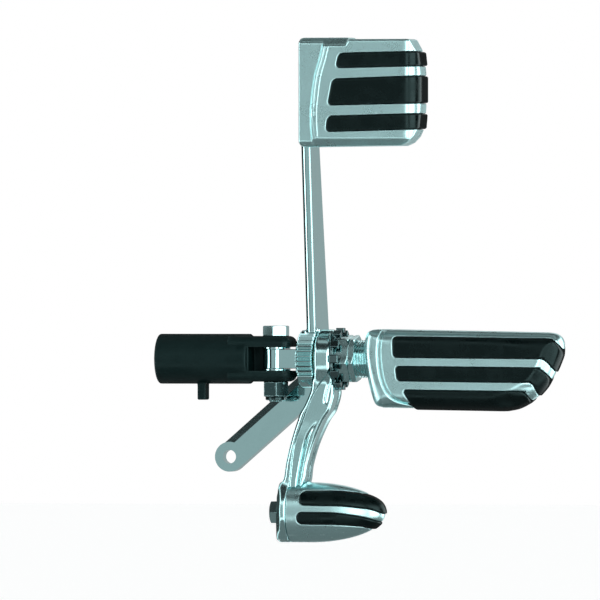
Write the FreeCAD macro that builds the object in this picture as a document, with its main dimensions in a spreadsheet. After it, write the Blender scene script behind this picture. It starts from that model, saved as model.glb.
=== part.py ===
import FreeCAD, Part
import math
import os

import Sketcher
from FreeCAD import Matrix, Placement, Rotation, Vector

os.makedirs("parts", exist_ok=True)
doc = FreeCAD.newDocument("foot_pegs")

# Driving dimensions in millimetres
# X runs outboard, Y forward, Z up. Places along X are from the clevis pin unless the words say otherwise.
SIZES = [
    ("pin_reach", 72.0, "inboard end of the mount to the clevis pin"),
    ("tube_radius", 15.0, "round part of the mount"),
    ("tube_bevel", 1.2, "bevel at both ends of the round part"),
    ("frame_bolt_radius", 5.1, "tapped hole in the inboard end"),
    ("frame_bolt_depth", 22.0, "depth of that hole"),
    ("clevis_root", 15.2, "round part ends this far inboard of the pin"),
    ("clevis_tip", 11.0, "ears end this far outboard of the pin"),
    ("clevis_half_height", 13.7, "ears above and below the axis"),
    ("clevis_half_width", 12.3, "ears to each side of the axis"),
    ("clevis_corner", 5.0, "rounding along the ears"),
    ("clevis_tip_round", 4.6, "rounding round the tips of the ears"),
    ("slot_half_height", 7.1, "half the gap between the ears"),
    ("slot_root", 14.1, "gap ends this far inboard of the pin"),
    ("lug_place", 26.8, "middle of the stop lug from the inboard end"),
    ("lug_length", 5.0, "stop lug along the mount"),
    ("lug_width", 9.0, "stop lug across the mount"),
    ("lug_drop", 9.6, "stop lug below the round part"),
    ("bolt_radius", 4.76, "clevis bolt shank"),
    ("bolt_flats", 14.3, "clevis bolt head across flats"),
    ("bolt_head_height", 6.2, "clevis bolt head"),
    ("bolt_tail", 0.9, "thread left beyond the clevis nut"),
    ("bolt_hole_gap", 0.12, "radial room for the bolt in the ears and shims"),
    ("pivot_gap", 0.07, "radial running room in each pivot"),
    ("nut_flats", 14.6, "clevis nut across flats"),
    ("nut_height", 8.9, "hexagon of the clevis nut"),
    ("nut_collar_radius", 6.4, "locking collar of the clevis nut"),
    ("nut_collar_height", 2.3, "locking collar of the clevis nut"),
    ("shim_radius", 8.7, "thrust shims in the clevis"),
    ("shim_thickness", 1.1, "thrust shims in the clevis"),
    ("side_gap", 0.15, "side room between faces that turn past each other"),
    ("eye_radius", 8.0, "eye of the spindle"),
    ("shank_half_width", 7.0, "flat shank behind the eye"),
    ("flange_radius", 13.0, "thrust flange of the spindle"),
    ("flange_thickness", 1.0, "thrust flange of the spindle"),
    ("hub_start", 16.0, "inboard face of the splined hub"),
    ("journal_radius", 9.5, "journal under the hub and the arm"),
    ("stud_radius", 8.0, "threaded end of the spindle"),
    ("stud_in_peg", 20.0, "thread inside the peg"),
    ("hub_radius", 17.4, "splined hub over its teeth"),
    ("hub_width", 10.5, "splined hub along the axis"),
    ("hub_teeth", 32, "teeth round the hub"),
    ("tooth_depth", 1.3, "depth between the teeth"),
    ("tooth_gap_radius", 1.15, "round bottom between two teeth"),
    ("hub_foot_drop", 10.0, "plain foot of the hub starts this far below the axis"),
    ("bush_wall", 2.5, "wall of the bronze bush"),
    ("plate_start", 4.0, "lever plate from the inboard face of the hub"),
    ("plate_thickness", 6.0, "lever plate"),
    ("plate_root_rear", 6.5, "rear edge of the plate at the hub"),
    ("plate_root_front", 26.5, "forward edge of the plate at the hub"),
    ("plate_bend_height", 127.0, "height where the plate turns upright"),
    ("plate_top_height", 176.0, "top of the plate behind the pad"),
    ("plate_top_depth", 24.0, "depth of the plate behind the pad"),
    ("plate_corner", 6.0, "rounding of the plate's free corners"),
    ("tail_near", 17.5, "rear face of the tail bar from the axis"),
    ("tail_thickness", 8.0, "tail bar front to back"),
    ("tail_width", 18.0, "tail bar across"),
    ("tail_bevel", 4.6, "bevel along the upper edge of the tail bar"),
    ("tail_slope", 41.0, "tail bar below the level, in degrees"),
    ("tail_length", 71.0, "tail bar from its root to the rod hole"),
    ("tail_root_drop", 12.4, "root of the tail bar below the axis"),
    ("rod_hole_radius", 4.1, "rod hole in the tail bar"),
    ("pad_left", 24.0, "inboard side of the pad"),
    ("pad_length", 76.0, "pad along X"),
    ("pad_bottom", 126.6, "underside of the pad above the axis"),
    ("pad_height", 65.4, "pad up and down"),
    ("pad_back", 20.2, "back of the pad rearward of the axis"),
    ("pad_depth", 21.8, "pad front to back at the cushion"),
    ("pad_step", 2.0, "shoulder beside the cushion lies this much lower"),
    ("pad_end_radius", 15.0, "rounding of the outboard end of the pad"),
    ("pad_wall", 4.6, "wall of the pad cover"),
    ("pad_bevel", 5.4, "bevels along the top and bottom of the pad"),
    ("ridge_width", 3.0, "raised bead beside the cushion"),
    ("ridge_rise", 1.0, "raised bead above the cushion"),
    ("ridge_inset", 11.9, "bead from the inboard side at mid height"),
    ("ridge_lean", 8.6, "bead leans this much outboard at its top"),
    ("backing_thickness", 4.5, "steel plate in the mouth of the cover"),
    ("backing_gap", 0.3, "room round that plate"),
    ("pad_screw_radius", 2.4, "screws through the plate"),
    ("pad_screw_head_radius", 4.4, "screw heads"),
    ("pad_screw_head_height", 2.6, "screw heads"),
    ("pad_boss_radius", 5.2, "bosses in the cover for the screws"),
    ("pad_screw_spread", 38.0, "between the two screws"),
    ("groove_depth", 2.2, "pockets that hold the rubber strips"),
    ("rubber_proud", 0.9, "rubber strips above the metal"),
    ("rubber_gap", 0.1, "room round each rubber strip"),
    ("arm_gap", 0.7, "between the hub and the arm"),
    ("boss_radius", 17.8, "boss of the arm"),
    ("boss_width", 10.4, "boss of the arm along the axis"),
    ("boss_round", 2.2, "rounding of the boss"),
    ("arm_width", 15.0, "curved arm across, seen from the rear"),
    ("arm_depth", 17.0, "curved arm front to back"),
    ("arm_sweep", 20.0, "arm curves inboard by this much"),
    ("arm_set_back", 3.5, "top of the arm lies rearward of the axis, clear of the lever"),
    ("arm_channel", 3.2, "depth of the channel down the arm"),
    ("arm_saddle", 3.0, "arm reaches down over the small peg by this much"),
    ("toe_drop", 92.0, "axis of the small peg below the main axis"),
    ("toe_face", 9.6, "face where the small peg starts"),
    ("toe_flange_thickness", 7.0, "foot of the arm behind the small peg"),
    ("toe_length", 58.0, "small peg"),
    ("toe_height", 36.0, "small peg up and down"),
    ("toe_depth", 31.0, "small peg front to back"),
    ("toe_barrel", 12.0, "parallel part of the small peg"),
    ("toe_screw_radius", 4.0, "screw that holds the small peg"),
    ("toe_screw_flats", 13.0, "head of that screw across flats"),
    ("toe_screw_head", 5.3, "head of that screw"),
    ("toe_screw_reach", 17.0, "thread inside the small peg"),
    ("washer_radius", 18.6, "tab washer over its tabs"),
    ("washer_thickness", 1.6, "tab washer"),
    ("washer_tabs", 12, "tabs round the washer"),
    ("tab_rise", 3.4, "tabs bent outboard"),
    ("tab_length", 2.9, "tabs along the radius"),
    ("tab_width", 4.6, "tabs across"),
    ("hex_flats", 26.4, "spindle nuts across flats"),
    ("hex_height", 8.2, "spindle nut"),
    ("jam_height", 3.8, "thin lock nut"),
    ("thread_gap", 0.1, "radial room of the plain threads"),
    ("collar_radius", 11.5, "threaded neck of the peg"),
    ("collar_length", 10.3, "threaded neck of the peg"),
    ("peg_sink", 2.5, "neck inside the peg"),
    ("peg_length", 121.0, "large peg"),
    ("peg_height", 48.4, "large peg up and down"),
    ("peg_depth", 38.0, "large peg front to back"),
    ("peg_top", 17.8, "top of the large peg above the axis"),
    ("peg_corner", 12.0, "rounding along the large peg"),
    ("peg_fall", 2.0, "top falls by this much towards the nose"),
    ("peg_lean", 6.0, "inboard end of the peg leans outboard by this much at its foot"),
    ("nose_sweep", 37.0, "underside is shorter than the top"),
    ("nose_round", 13.0, "rounding of the nose, seen from above"),
    ("strip_turn", 38.0, "strips of the peg turn down at the nose, in degrees"),
    ("strip_bend", 3.0, "length of that turn"),
    ("strip_corner", 1.8, "rounded corners of the strips of the peg"),
    ("pad_strip_corner", 2.2, "rounded corners of the strips of the pad"),
    ("toe_strip_corner", 3.2, "rounded corners of the strips of the small peg"),
    ("ring_place", 9.0, "ring groove from the inboard end"),
    ("ring_width", 2.6, "ring groove"),
    ("ring_depth", 0.9, "ring groove"),
    ("ring_lean", 8.0, "ring groove leans, in degrees"),
]

dims = doc.addObject("Spreadsheet::Sheet", "dims")
for row, (alias, number, meaning) in enumerate(SIZES, 1):
    dims.set("A%d" % row, meaning)
    dims.set("B%d" % row, str(number))
    dims.setAlias("B%d" % row, alias)
doc.recompute()

nodes = {}


def value(expression):
    """The number that an expression on the sheet gives."""
    return float(dims.evalExpression(expression))


def keep(thing, name):
    """Name a finished piece and list it for export."""
    thing.Label = name
    nodes[name] = thing
    return thing


def shift(thing, x="0", y="0", z="0"):
    """Bind a piece's place to the sheet."""
    thing.setExpression("Placement.Base.x", x)
    thing.setExpression("Placement.Base.y", y)
    thing.setExpression("Placement.Base.z", z)


# Sketches and features


def new_body(name):
    """An empty body that becomes one piece."""
    return keep(doc.addObject("PartDesign::Body", name), name)


def plane_sketch(body, role, name, lift="0"):
    """A sketch on one of the body's own planes, moved along that plane's normal."""
    plane = next(item for item in body.Origin.OriginFeatures if item.Role == role)
    sketch = body.newObject("Sketcher::SketchObject", name)
    sketch.AttachmentSupport = [(plane, "")]
    sketch.MapMode = "FlatFace"
    sketch.setExpression("AttachmentOffset.Base.z", lift)
    return sketch


def pin_point(sketch, geometry, position, across, up):
    """Tie one point of the drawing to two expressions."""
    places = (("DistanceX", across), ("DistanceY", up))
    for kind, expression in places:
        rule = Sketcher.Constraint(kind, -1, 1, geometry, position, value(expression))
        number = sketch.addConstraint(rule)
        sketch.setExpression("Constraints[%d]" % number, expression)


def draw_polygon(sketch, corners):
    """A closed outline through corners given as pairs of expressions."""
    places = [Vector(value(across), value(up), 0) for across, up in corners]
    count = len(places)
    for number in range(count):
        line = Part.LineSegment(places[number], places[(number + 1) % count])
        sketch.addGeometry(line, False)
    for number in range(count):
        sketch.addConstraint(Sketcher.Constraint("Coincident", number, 2, (number + 1) % count, 1))
    for number, (across, up) in enumerate(corners):
        pin_point(sketch, number, 1, across, up)


def draw_circle(sketch, across, up, radius):
    """A circle bound to the sheet."""
    circle = Part.Circle(Vector(value(across), value(up), 0), Vector(0, 0, 1), value(radius))
    number = sketch.addGeometry(circle, False)
    size = sketch.addConstraint(Sketcher.Constraint("Radius", number, value(radius)))
    sketch.setExpression("Constraints[%d]" % size, radius)
    pin_point(sketch, number, 3, across, up)


def draw_box(sketch, left, low, right, high):
    """A rectangle between two corners."""
    draw_polygon(sketch, [(left, low), (right, low), (right, high), (left, high)])


def pad(body, sketch, length, symmetric=False):
    """Add the drawing as a solid."""
    feature = body.newObject("PartDesign::Pad", sketch.Name + "_pad")
    feature.Profile = sketch
    feature.setExpression("Length", length)
    feature.SideType = "Symmetric" if symmetric else "One side"
    doc.recompute()
    return feature


def pocket(body, sketch, length=None, flip=False):
    """Cut the drawing out of the solid, right through when no depth is given."""
    before = body.Shape.Volume
    feature = body.newObject("PartDesign::Pocket", sketch.Name + "_pocket")
    feature.Profile = sketch
    if length is None:
        feature.Type = "ThroughAll"
        feature.SideType = "Symmetric"
    else:
        feature.setExpression("Length", length)
        feature.Reversed = flip
    doc.recompute()
    if body.Shape.Volume >= before:
        raise RuntimeError("%s cuts nothing" % sketch.Name)
    return feature


def revolve(body, sketch):
    """Turn the drawing round the X axis of its plane."""
    feature = body.newObject("PartDesign::Revolution", sketch.Name + "_turned")
    feature.Profile = sketch
    feature.ReferenceAxis = (sketch, ["H_Axis"])
    feature.Angle = 360
    doc.recompute()
    return feature


def pattern(body, feature, sketch, count):
    """Repeat a feature round the X axis."""
    ring = body.newObject("PartDesign::PolarPattern", feature.Name + "_ring")
    ring.Originals = [feature]
    ring.Axis = (sketch, ["N_Axis"])
    ring.Angle = 360
    ring.setExpression("Occurrences", count)
    body.Tip = ring
    doc.recompute()
    return ring


def edges_where(feature, test):
    """Names of the edges that pass a test on their box."""
    names = []
    for number, edge in enumerate(feature.Shape.Edges, 1):
        if test(edge.BoundBox):
            names.append("Edge%d" % number)
    return names


def soften(body, kind, name, base, test, size):
    """A fillet or chamfer on the edges that pass a test."""
    feature = body.newObject("PartDesign::" + kind, name)
    feature.Base = (base, edges_where(base, test))
    feature.setExpression("Radius" if kind == "Fillet" else "Size", size)
    doc.recompute()
    return feature


# Primitives


def add_cylinder(name, radius, height, z="0"):
    """A cylinder about Z, bound to the sheet."""
    thing = doc.addObject("Part::Cylinder", name)
    thing.setExpression("Radius", radius)
    thing.setExpression("Height", height)
    shift(thing, z=z)
    return thing


def add_hexagon(name, flats, height, z="0"):
    """A hexagon about Z whose outer corners are bevelled like a nut's."""
    prism = doc.addObject("Part::Prism", name + "_prism")
    prism.Polygon = 6
    prism.setExpression("Circumradius", "%s / sqrt(3)" % flats)
    prism.setExpression("Height", height)
    prism.Placement = Placement(Vector(), Rotation(Vector(0, 0, 1), 90))
    cone = doc.addObject("Part::Cone", name + "_cone")
    cone.setExpression("Radius1", "%s * 0.49 + %s * 1.9" % (flats, height))
    cone.setExpression("Radius2", "%s * 0.49" % flats)
    cone.setExpression("Height", height)
    common = doc.addObject("Part::Common", name)
    common.Base = prism
    common.Tool = cone
    shift(common, z=z)
    return common


def add_fuse(name, pieces):
    """Several primitives as one solid."""
    thing = doc.addObject("Part::MultiFuse", name)
    thing.Shapes = pieces
    return thing


def add_cut(name, base, tool):
    """One primitive with another taken out of it."""
    thing = doc.addObject("Part::Cut", name)
    thing.Base = base
    thing.Tool = tool
    return thing


def lay_along_x(thing, x):
    """Turn a piece that was drawn about Z so that it lies along X."""
    thing.Placement = Placement(Vector(), Rotation(Vector(0, 1, 0), 90))
    shift(thing, x=x)


def cast(name, shape, x="dims.pin_reach"):
    """A piece whose form is worked out by the functions below."""
    thing = doc.addObject("Part::Feature", name)
    thing.Shape = shape
    shift(thing, x=x)
    return keep(thing, name)


# Black clevis mount


def make_mount_tube():
    body = new_body("mount_tube")
    shoulder = "(dims.pin_reach - dims.clevis_root)"
    turned = plane_sketch(body, "XY_Plane", "tube_profile")
    draw_polygon(turned, [
        ("0", "0"),
        ("0", "dims.tube_radius - dims.tube_bevel"),
        ("dims.tube_bevel", "dims.tube_radius"),
        (shoulder + " - dims.tube_bevel", "dims.tube_radius"),
        (shoulder, "dims.tube_radius - dims.tube_bevel"),
        (shoulder, "0"),
    ])
    revolve(body, turned)
    ears = plane_sketch(body, "XZ_Plane", "ears_profile")
    draw_box(ears, shoulder + " - dims.tube_bevel", "-dims.clevis_half_height",
             "dims.pin_reach + dims.clevis_tip", "dims.clevis_half_height")
    block = pad(body, ears, "2 * dims.clevis_half_width", symmetric=True)
    tip = value("dims.pin_reach + dims.clevis_tip")

    def runs_along_ears(box):
        return box.XMax > tip - 0.01 and box.XLength > 5

    rounded = soften(body, "Fillet", "ear_edges", block, runs_along_ears, "dims.clevis_corner")

    def borders_tip(box):
        return box.XMin > tip - 0.01

    soften(body, "Fillet", "ear_tips", rounded, borders_tip, "dims.clevis_tip_round")
    slot = plane_sketch(body, "XZ_Plane", "slot_profile")
    draw_box(slot, "dims.pin_reach - dims.slot_root", "-dims.slot_half_height",
             "dims.pin_reach + 2 * dims.clevis_tip", "dims.slot_half_height")
    pocket(body, slot)
    hole = plane_sketch(body, "XY_Plane", "bolt_hole")
    draw_circle(hole, "dims.pin_reach", "0", "dims.bolt_radius + dims.bolt_hole_gap")
    pocket(body, hole)
    thread = plane_sketch(body, "YZ_Plane", "frame_thread")
    draw_circle(thread, "0", "0", "dims.frame_bolt_radius")
    pocket(body, thread, "dims.frame_bolt_depth", flip=True)
    lug = plane_sketch(body, "XZ_Plane", "stop_lug")
    draw_box(lug, "dims.lug_place - dims.lug_length / 2", "-dims.tube_radius - dims.lug_drop",
             "dims.lug_place + dims.lug_length / 2", "2 - dims.tube_radius")
    pad(body, lug, "dims.lug_width", symmetric=True)


def make_clevis_bolt():
    head = add_hexagon("bolt_head", "dims.bolt_flats", "dims.bolt_head_height", "dims.clevis_half_height")
    grip = "(2 * dims.clevis_half_height + dims.nut_height + dims.nut_collar_height + dims.bolt_tail)"
    shank = add_cylinder("bolt_shank", "dims.bolt_radius", grip, "dims.clevis_half_height - " + grip)
    bolt = add_fuse("bolt", [head, shank])
    shift(bolt, x="dims.pin_reach")
    keep(bolt, "clevis_bolt")


def make_clevis_nut():
    hexagon = add_hexagon("nut_hexagon", "dims.nut_flats", "dims.nut_height")
    collar = add_cylinder("nut_collar", "dims.nut_collar_radius",
                          "dims.nut_height + dims.nut_collar_height")
    outside = add_fuse("nut_outside", [hexagon, collar])
    bore = add_cylinder("nut_bore", "dims.bolt_radius + dims.thread_gap", "3 * dims.nut_height",
                        "-dims.nut_height")
    nut = add_cut("nut", outside, bore)
    nut.Placement = Placement(Vector(), Rotation(Vector(1, 0, 0), 180))
    shift(nut, x="dims.pin_reach", z="-dims.clevis_half_height")
    keep(nut, "clevis_nut")


def make_shim(name, low):
    disc = add_cylinder(name + "_disc", "dims.shim_radius", "dims.shim_thickness")
    bore = add_cylinder(name + "_bore", "dims.bolt_radius + dims.bolt_hole_gap", "dims.shim_thickness")
    shim = add_cut(name + "_ring", disc, bore)
    shift(shim, x="dims.pin_reach", z=low)
    keep(shim, name)


# Spindle with its eye


def make_spindle():
    body = new_body("eye_spindle")
    eye_height = "2 * (dims.slot_half_height - dims.shim_thickness - dims.side_gap)"
    eye = plane_sketch(body, "XY_Plane", "eye_outline")
    draw_circle(eye, "0", "0", "dims.eye_radius")
    pad(body, eye, eye_height, symmetric=True)
    shank = plane_sketch(body, "XY_Plane", "shank_outline")
    draw_box(shank, "0", "-dims.shank_half_width", "dims.hub_start - dims.flange_thickness / 2",
             "dims.shank_half_width")
    pad(body, shank, eye_height, symmetric=True)
    turned = plane_sketch(body, "XY_Plane", "spindle_profile")
    boss_end = "(dims.hub_start + dims.hub_width + dims.arm_gap + dims.boss_width)"
    stud_end = "(%s + dims.washer_thickness + dims.hex_height + dims.jam_height" % boss_end
    stud_end += " + dims.collar_length - dims.peg_sink + dims.stud_in_peg)"
    draw_polygon(turned, [
        ("dims.hub_start - dims.flange_thickness", "0"),
        ("dims.hub_start - dims.flange_thickness", "dims.flange_radius"),
        ("dims.hub_start", "dims.flange_radius"),
        ("dims.hub_start", "dims.journal_radius"),
        (boss_end + " - 0.5", "dims.journal_radius"),
        (boss_end + " - 0.5", "dims.stud_radius"),
        (stud_end, "dims.stud_radius"),
        (stud_end, "0"),
    ])
    revolve(body, turned)
    hole = plane_sketch(body, "XY_Plane", "eye_hole")
    draw_circle(hole, "0", "0", "dims.bolt_radius + dims.pivot_gap")
    pocket(body, hole)
    shift(body, x="dims.pin_reach")


def make_lever_bush():
    length = "dims.hub_width + dims.arm_gap"
    outside = add_cylinder("bush_outside", "dims.journal_radius + dims.bush_wall", length)
    bore = add_cylinder("bush_bore", "dims.journal_radius + dims.thread_gap", length)
    bush = add_cut("bush", outside, bore)
    lay_along_x(bush, "dims.pin_reach + dims.hub_start")
    keep(bush, "lever_bush")


# Pedal lever with its splined hub


def make_pedal_lever():
    body = new_body("pedal_lever")
    hub = plane_sketch(body, "YZ_Plane", "hub_outline")
    draw_circle(hub, "0", "0", "dims.hub_radius")
    pad(body, hub, "dims.hub_width")
    tooth = plane_sketch(body, "YZ_Plane", "tooth_gap")
    draw_circle(tooth, "dims.hub_radius + dims.tooth_gap_radius - dims.tooth_depth", "0",
                "dims.tooth_gap_radius")
    gap = pocket(body, tooth, "2 * dims.hub_width", flip=True)
    pattern(body, gap, tooth, "dims.hub_teeth")
    foot = plane_sketch(body, "YZ_Plane", "hub_foot", "dims.plate_start / 4")
    draw_polygon(foot, [
        ("-dims.hub_radius * 0.8", "-dims.hub_foot_drop"),
        ("-dims.hub_radius * 0.5", "-dims.hub_radius * 0.9"),
        ("0", "-dims.hub_radius * 1.02"),
        ("dims.hub_radius * 0.5", "-dims.hub_radius * 0.9"),
        ("dims.hub_radius * 0.8", "-dims.hub_foot_drop"),
    ])
    pad(body, foot, "dims.hub_width - dims.plate_start / 2")
    plate = plane_sketch(body, "YZ_Plane", "plate_outline", "dims.plate_start")
    draw_polygon(plate, [
        ("-dims.plate_root_rear", "dims.hub_foot_drop"),
        ("-dims.pad_back", "dims.plate_bend_height"),
        ("-dims.pad_back", "dims.plate_top_height"),
        ("dims.plate_top_depth - dims.pad_back", "dims.plate_top_height"),
        ("dims.plate_top_depth - dims.pad_back", "dims.plate_bend_height"),
        ("dims.plate_root_front", "dims.hub_radius"),
        ("dims.plate_root_front", "-dims.hub_foot_drop"),
        ("dims.journal_radius", "-dims.hub_foot_drop"),
    ])
    slab = pad(body, plate, "dims.plate_thickness")
    top = value("dims.plate_top_height")
    front = value("dims.plate_root_front")

    def free_corner(box):
        at_top = box.ZMin > top - 0.01
        at_foot = box.YMin > front - 0.01 and box.ZMax < 0
        return box.XLength > 1 and (at_top or at_foot) and box.YLength < 0.01

    soften(body, "Fillet", "plate_corners", slab, free_corner, "dims.plate_corner")
    bore = plane_sketch(body, "YZ_Plane", "hub_bore")
    draw_circle(bore, "0", "0", "dims.journal_radius + dims.bush_wall + dims.pivot_gap")
    pocket(body, bore)
    shift(body, x="dims.pin_reach + dims.hub_start")
    return body


def tail_sketch(body, name):
    """A sketch on the front face of the tail bar, with its own axis back up along the bar."""
    sketch = plane_sketch(body, "XZ_Plane", name)
    sketch.AttachmentOffset = Placement(Vector(), Rotation(Vector(0, 0, 1), value("dims.tail_slope")))
    sketch.setExpression("AttachmentOffset.Base.x", "dims.plate_start")
    sketch.setExpression("AttachmentOffset.Base.y", "-dims.tail_root_drop")
    sketch.setExpression("AttachmentOffset.Base.z", "-dims.tail_near - dims.tail_thickness")
    sketch.setExpression("AttachmentOffset.Rotation.Angle", "dims.tail_slope")
    return sketch


def make_tail_bar(lever):
    """The bar that runs inboard and down from the plate to the rod hole, notched to fit the lever."""
    body = doc.addObject("PartDesign::Body", "tail_blank")
    bar = tail_sketch(body, "tail_outline")
    half = "dims.tail_width / 2"
    skew = "%s * sin(dims.tail_slope)" % half
    inside = "dims.plate_thickness / 2"
    draw_polygon(bar, [
        ("-dims.tail_length", "-" + half),
        ("(%s - %s) / cos(dims.tail_slope)" % (inside, skew), "-" + half),
        ("(%s + %s) / cos(dims.tail_slope)" % (inside, skew), half),
        ("-dims.tail_length", half),
    ])
    straight = pad(body, bar, "dims.tail_thickness")
    near = value("dims.tail_near")
    slope = math.radians(value("dims.tail_slope"))
    root = Vector(value("dims.plate_start"), 0, -value("dims.tail_root_drop"))
    across = Vector(-math.sin(slope), 0, math.cos(slope))
    least = value("dims.tail_width") * 0.4

    def upper_rear_edge(box):
        is_long = box.ZLength > value("dims.tail_length") * 0.4
        return is_long and box.YMax < near + 0.01 and (box.Center - root).dot(across) > least

    soften(body, "Chamfer", "tail_edge", straight, upper_rear_edge, "dims.tail_bevel")
    end = tail_sketch(body, "tail_end")
    draw_circle(end, "-dims.tail_length", "0", "dims.tail_width / 2")
    pad(body, end, "dims.tail_thickness")
    hole = tail_sketch(body, "rod_hole")
    draw_circle(hole, "-dims.tail_length", "0", "dims.rod_hole_radius")
    pocket(body, hole)
    shift(body, x="dims.pin_reach + dims.hub_start")
    keep(add_cut("tail_bar", body, lever), "tail_bar")


# Outlines and prisms for the cast pieces


def rounded_wire(middle, side, up, width, height, radius):
    """A rounded rectangle about a middle point, drawn along two directions."""
    half = width / 2
    tall = height / 2
    corner = min(radius, half * 0.96, tall * 0.96)
    bend = corner * (1 - math.sqrt(0.5))
    quarters = [(1, 1), (-1, 1), (-1, -1), (1, -1)]
    edges = []
    last = None
    first = None
    for number, (a, b) in enumerate(quarters):
        flat = middle + side * (a * half) + up * (b * (tall - corner))
        level = middle + side * (a * (half - corner)) + up * (b * tall)
        turn = middle + side * (a * (half - bend)) + up * (b * (tall - bend))
        begin, finish = (flat, level) if number % 2 == 0 else (level, flat)
        if last is not None:
            edges.append(Part.makeLine(last, begin))
        else:
            first = begin
        edges.append(Part.Arc(begin, turn, finish).toShape())
        last = finish
    edges.append(Part.makeLine(last, first))
    return Part.Wire(edges)


def curve(points):
    """A smooth edge through a few points."""
    spline = Part.BSplineCurve()
    spline.interpolate(points)
    return spline.toShape()


def prism(edges, direction):
    """A solid from a closed flat outline."""
    return Part.Face(Part.Wire(edges)).extrude(direction)


def polygon_prism(points, direction):
    """A solid from the corners of a flat outline."""
    return Part.Face(Part.makePolygon(points + [points[0]])).extrude(direction)


def bent_edges(points, near, bend):
    """A straight line, a short turn and a second straight line through three points."""
    first, turn, last = [Vector(x, near, z) for x, z in points]
    before = turn + (first - turn).normalize() * bend
    after = turn + (last - turn).normalize() * bend
    middle = (before + after) * 0.25 + turn * 0.5
    return [
        Part.makeLine(first, before),
        Part.Arc(before, middle, after).toShape(),
        Part.makeLine(after, last),
    ]


def smooth_edges(points, near):
    """One smooth edge through points seen from the rear."""
    return [curve([Vector(x, near, z) for x, z in points])]


def strip_prism(upper, lower, near, far, corner, bend=0.0):
    """A band seen from the rear between two depths, with two rounded corners at its left end."""
    if bend:
        edges = bent_edges(upper, near, bend) + bent_edges(lower, near, bend)
    else:
        edges = smooth_edges(upper, near) + smooth_edges(lower, near)
    ends = [(upper[0], lower[0]), (upper[-1], lower[-1])]
    for (x, z), (other_x, other_z) in ends:
        edges.append(Part.makeLine(Vector(x, near, z), Vector(other_x, near, other_z)))
    outline = Part.Wire(Part.__sortEdges__(edges))
    solid = Part.Face(outline).extrude(Vector(0, far - near, 0))
    corners = [edge for edge in solid.Edges if is_left_corner(edge.BoundBox, upper[0], lower[0])]
    return solid.makeFillet(corner, corners)


def is_left_corner(box, upper, lower):
    """Whether an edge runs front to back through one of a band's two left corners."""
    if box.XLength > 0.01 or box.ZLength > 0.01:
        return False
    gaps = [math.hypot(box.XMin - x, box.ZMin - z) for x, z in (upper, lower)]
    return min(gaps) < 0.01


def inset_band(upper, lower, gap):
    """The same band with a little room at its upper, lower and left sides."""
    smaller_top = [(x + gap, z - gap) for x, z in upper]
    smaller_low = [(x + gap, z + gap) for x, z in lower]
    return smaller_top, smaller_low


# Pedal pad


def pad_plan(grow, step=0.0):
    """The pad seen from above: flat front, round outboard end."""
    left = value("dims.pad_left") - min(grow, 0)
    right = value("dims.pad_left + dims.pad_length") + grow
    back = -value("dims.pad_back")
    face = back - value("dims.pad_depth") + step - grow
    radius = value("dims.pad_end_radius") + grow
    bend = radius * (1 - math.sqrt(0.5))
    low = value("dims.pad_bottom") - 5
    corner = Vector(right - radius, face, low)
    turn = Vector(right - bend, face + bend, low)
    side = Vector(right, face + radius, low)
    edges = [
        Part.makeLine(Vector(left, back, low), Vector(left, face, low)),
        Part.makeLine(Vector(left, face, low), corner),
        Part.Arc(corner, turn, side).toShape(),
        Part.makeLine(side, Vector(right, back, low)),
        Part.makeLine(Vector(right, back, low), Vector(left, back, low)),
    ]
    return prism(edges, Vector(0, 0, value("dims.pad_height") + 10))


def pad_elevation(inset):
    """The pad seen from the rear, with its cut corners."""
    left = value("dims.pad_left") + inset
    right = value("dims.pad_left + dims.pad_length") + 2 - inset
    low = value("dims.pad_bottom") + inset
    high = value("dims.pad_bottom + dims.pad_height") - inset
    near = -value("dims.pad_back + dims.pad_depth") - 10
    corner = 1.6
    points = [
        (left, low + corner),
        (left + corner, low),
        (right - 13.0, low + 1.6),
        (right - 6.0, low + 4.6),
        (right - 2.6, low + 11.0),
        (right - 1.2, low + 24.0),
        (right - 1.2, high - 20.0),
        (right - 2.6, high - 8.4),
        (right - 8.0, high),
        (left + corner, high),
        (left, high - corner),
    ]
    corners = [Vector(x, near, z) for x, z in points]
    return polygon_prism(corners, Vector(0, value("dims.pad_depth") + 20, 0))


def pad_section(inset):
    """The pad seen from its end, with a bevel along top and bottom."""
    back = -value("dims.pad_back") + 3
    face = -value("dims.pad_back + dims.pad_depth") - 3
    low = value("dims.pad_bottom") + inset
    high = value("dims.pad_bottom + dims.pad_height") - inset
    bevel = value("dims.pad_bevel")
    points = [
        (back, low),
        (face + 3 + bevel, low),
        (face + 3, low + bevel),
        (face, low + bevel),
        (face, high - bevel * 0.85),
        (face + 3, high - bevel * 0.85),
        (face + 3 + bevel, high),
        (back, high),
    ]
    left = value("dims.pad_left") - 5
    corners = [Vector(left, y, z) for y, z in points]
    return polygon_prism(corners, Vector(value("dims.pad_length") + 15, 0, 0))


def ridge_line(offset):
    """Points of the bead beside the cushion, from top to bottom."""
    start = value("dims.pad_left + dims.ridge_inset") + offset
    lean = value("dims.ridge_lean")
    low = value("dims.pad_bottom")
    height = value("dims.pad_height")
    shape = [(1.0, 1.0), (0.58, 0.81), (0.22, 0.64), (0.0, 0.43), (-0.07, 0.3), (0.0, 0.13), (0.08, 0.0)]
    return [(start + lean * share, low + height * level) for share, level in shape]


def ridge_prism(left_offset, right_offset, right_edge=None):
    """What lies between two lines that follow the bead, or from one line to the outboard end."""
    near = -value("dims.pad_back + dims.pad_depth") - 6
    left = [Vector(x, near, z) for x, z in ridge_line(left_offset)]
    if right_edge is None:
        right = [Vector(x, near, z) for x, z in reversed(ridge_line(right_offset))]
        outboard = curve(right)
    else:
        right = [Vector(right_edge, near, left[-1].z), Vector(right_edge, near, left[0].z)]
        outboard = Part.makeLine(right[0], right[1])
    edges = [
        curve(left),
        Part.makeLine(left[-1], right[0]),
        outboard,
        Part.makeLine(right[-1], left[0]),
    ]
    return prism(edges, Vector(0, value("dims.pad_depth") + 6, 0))


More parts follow.
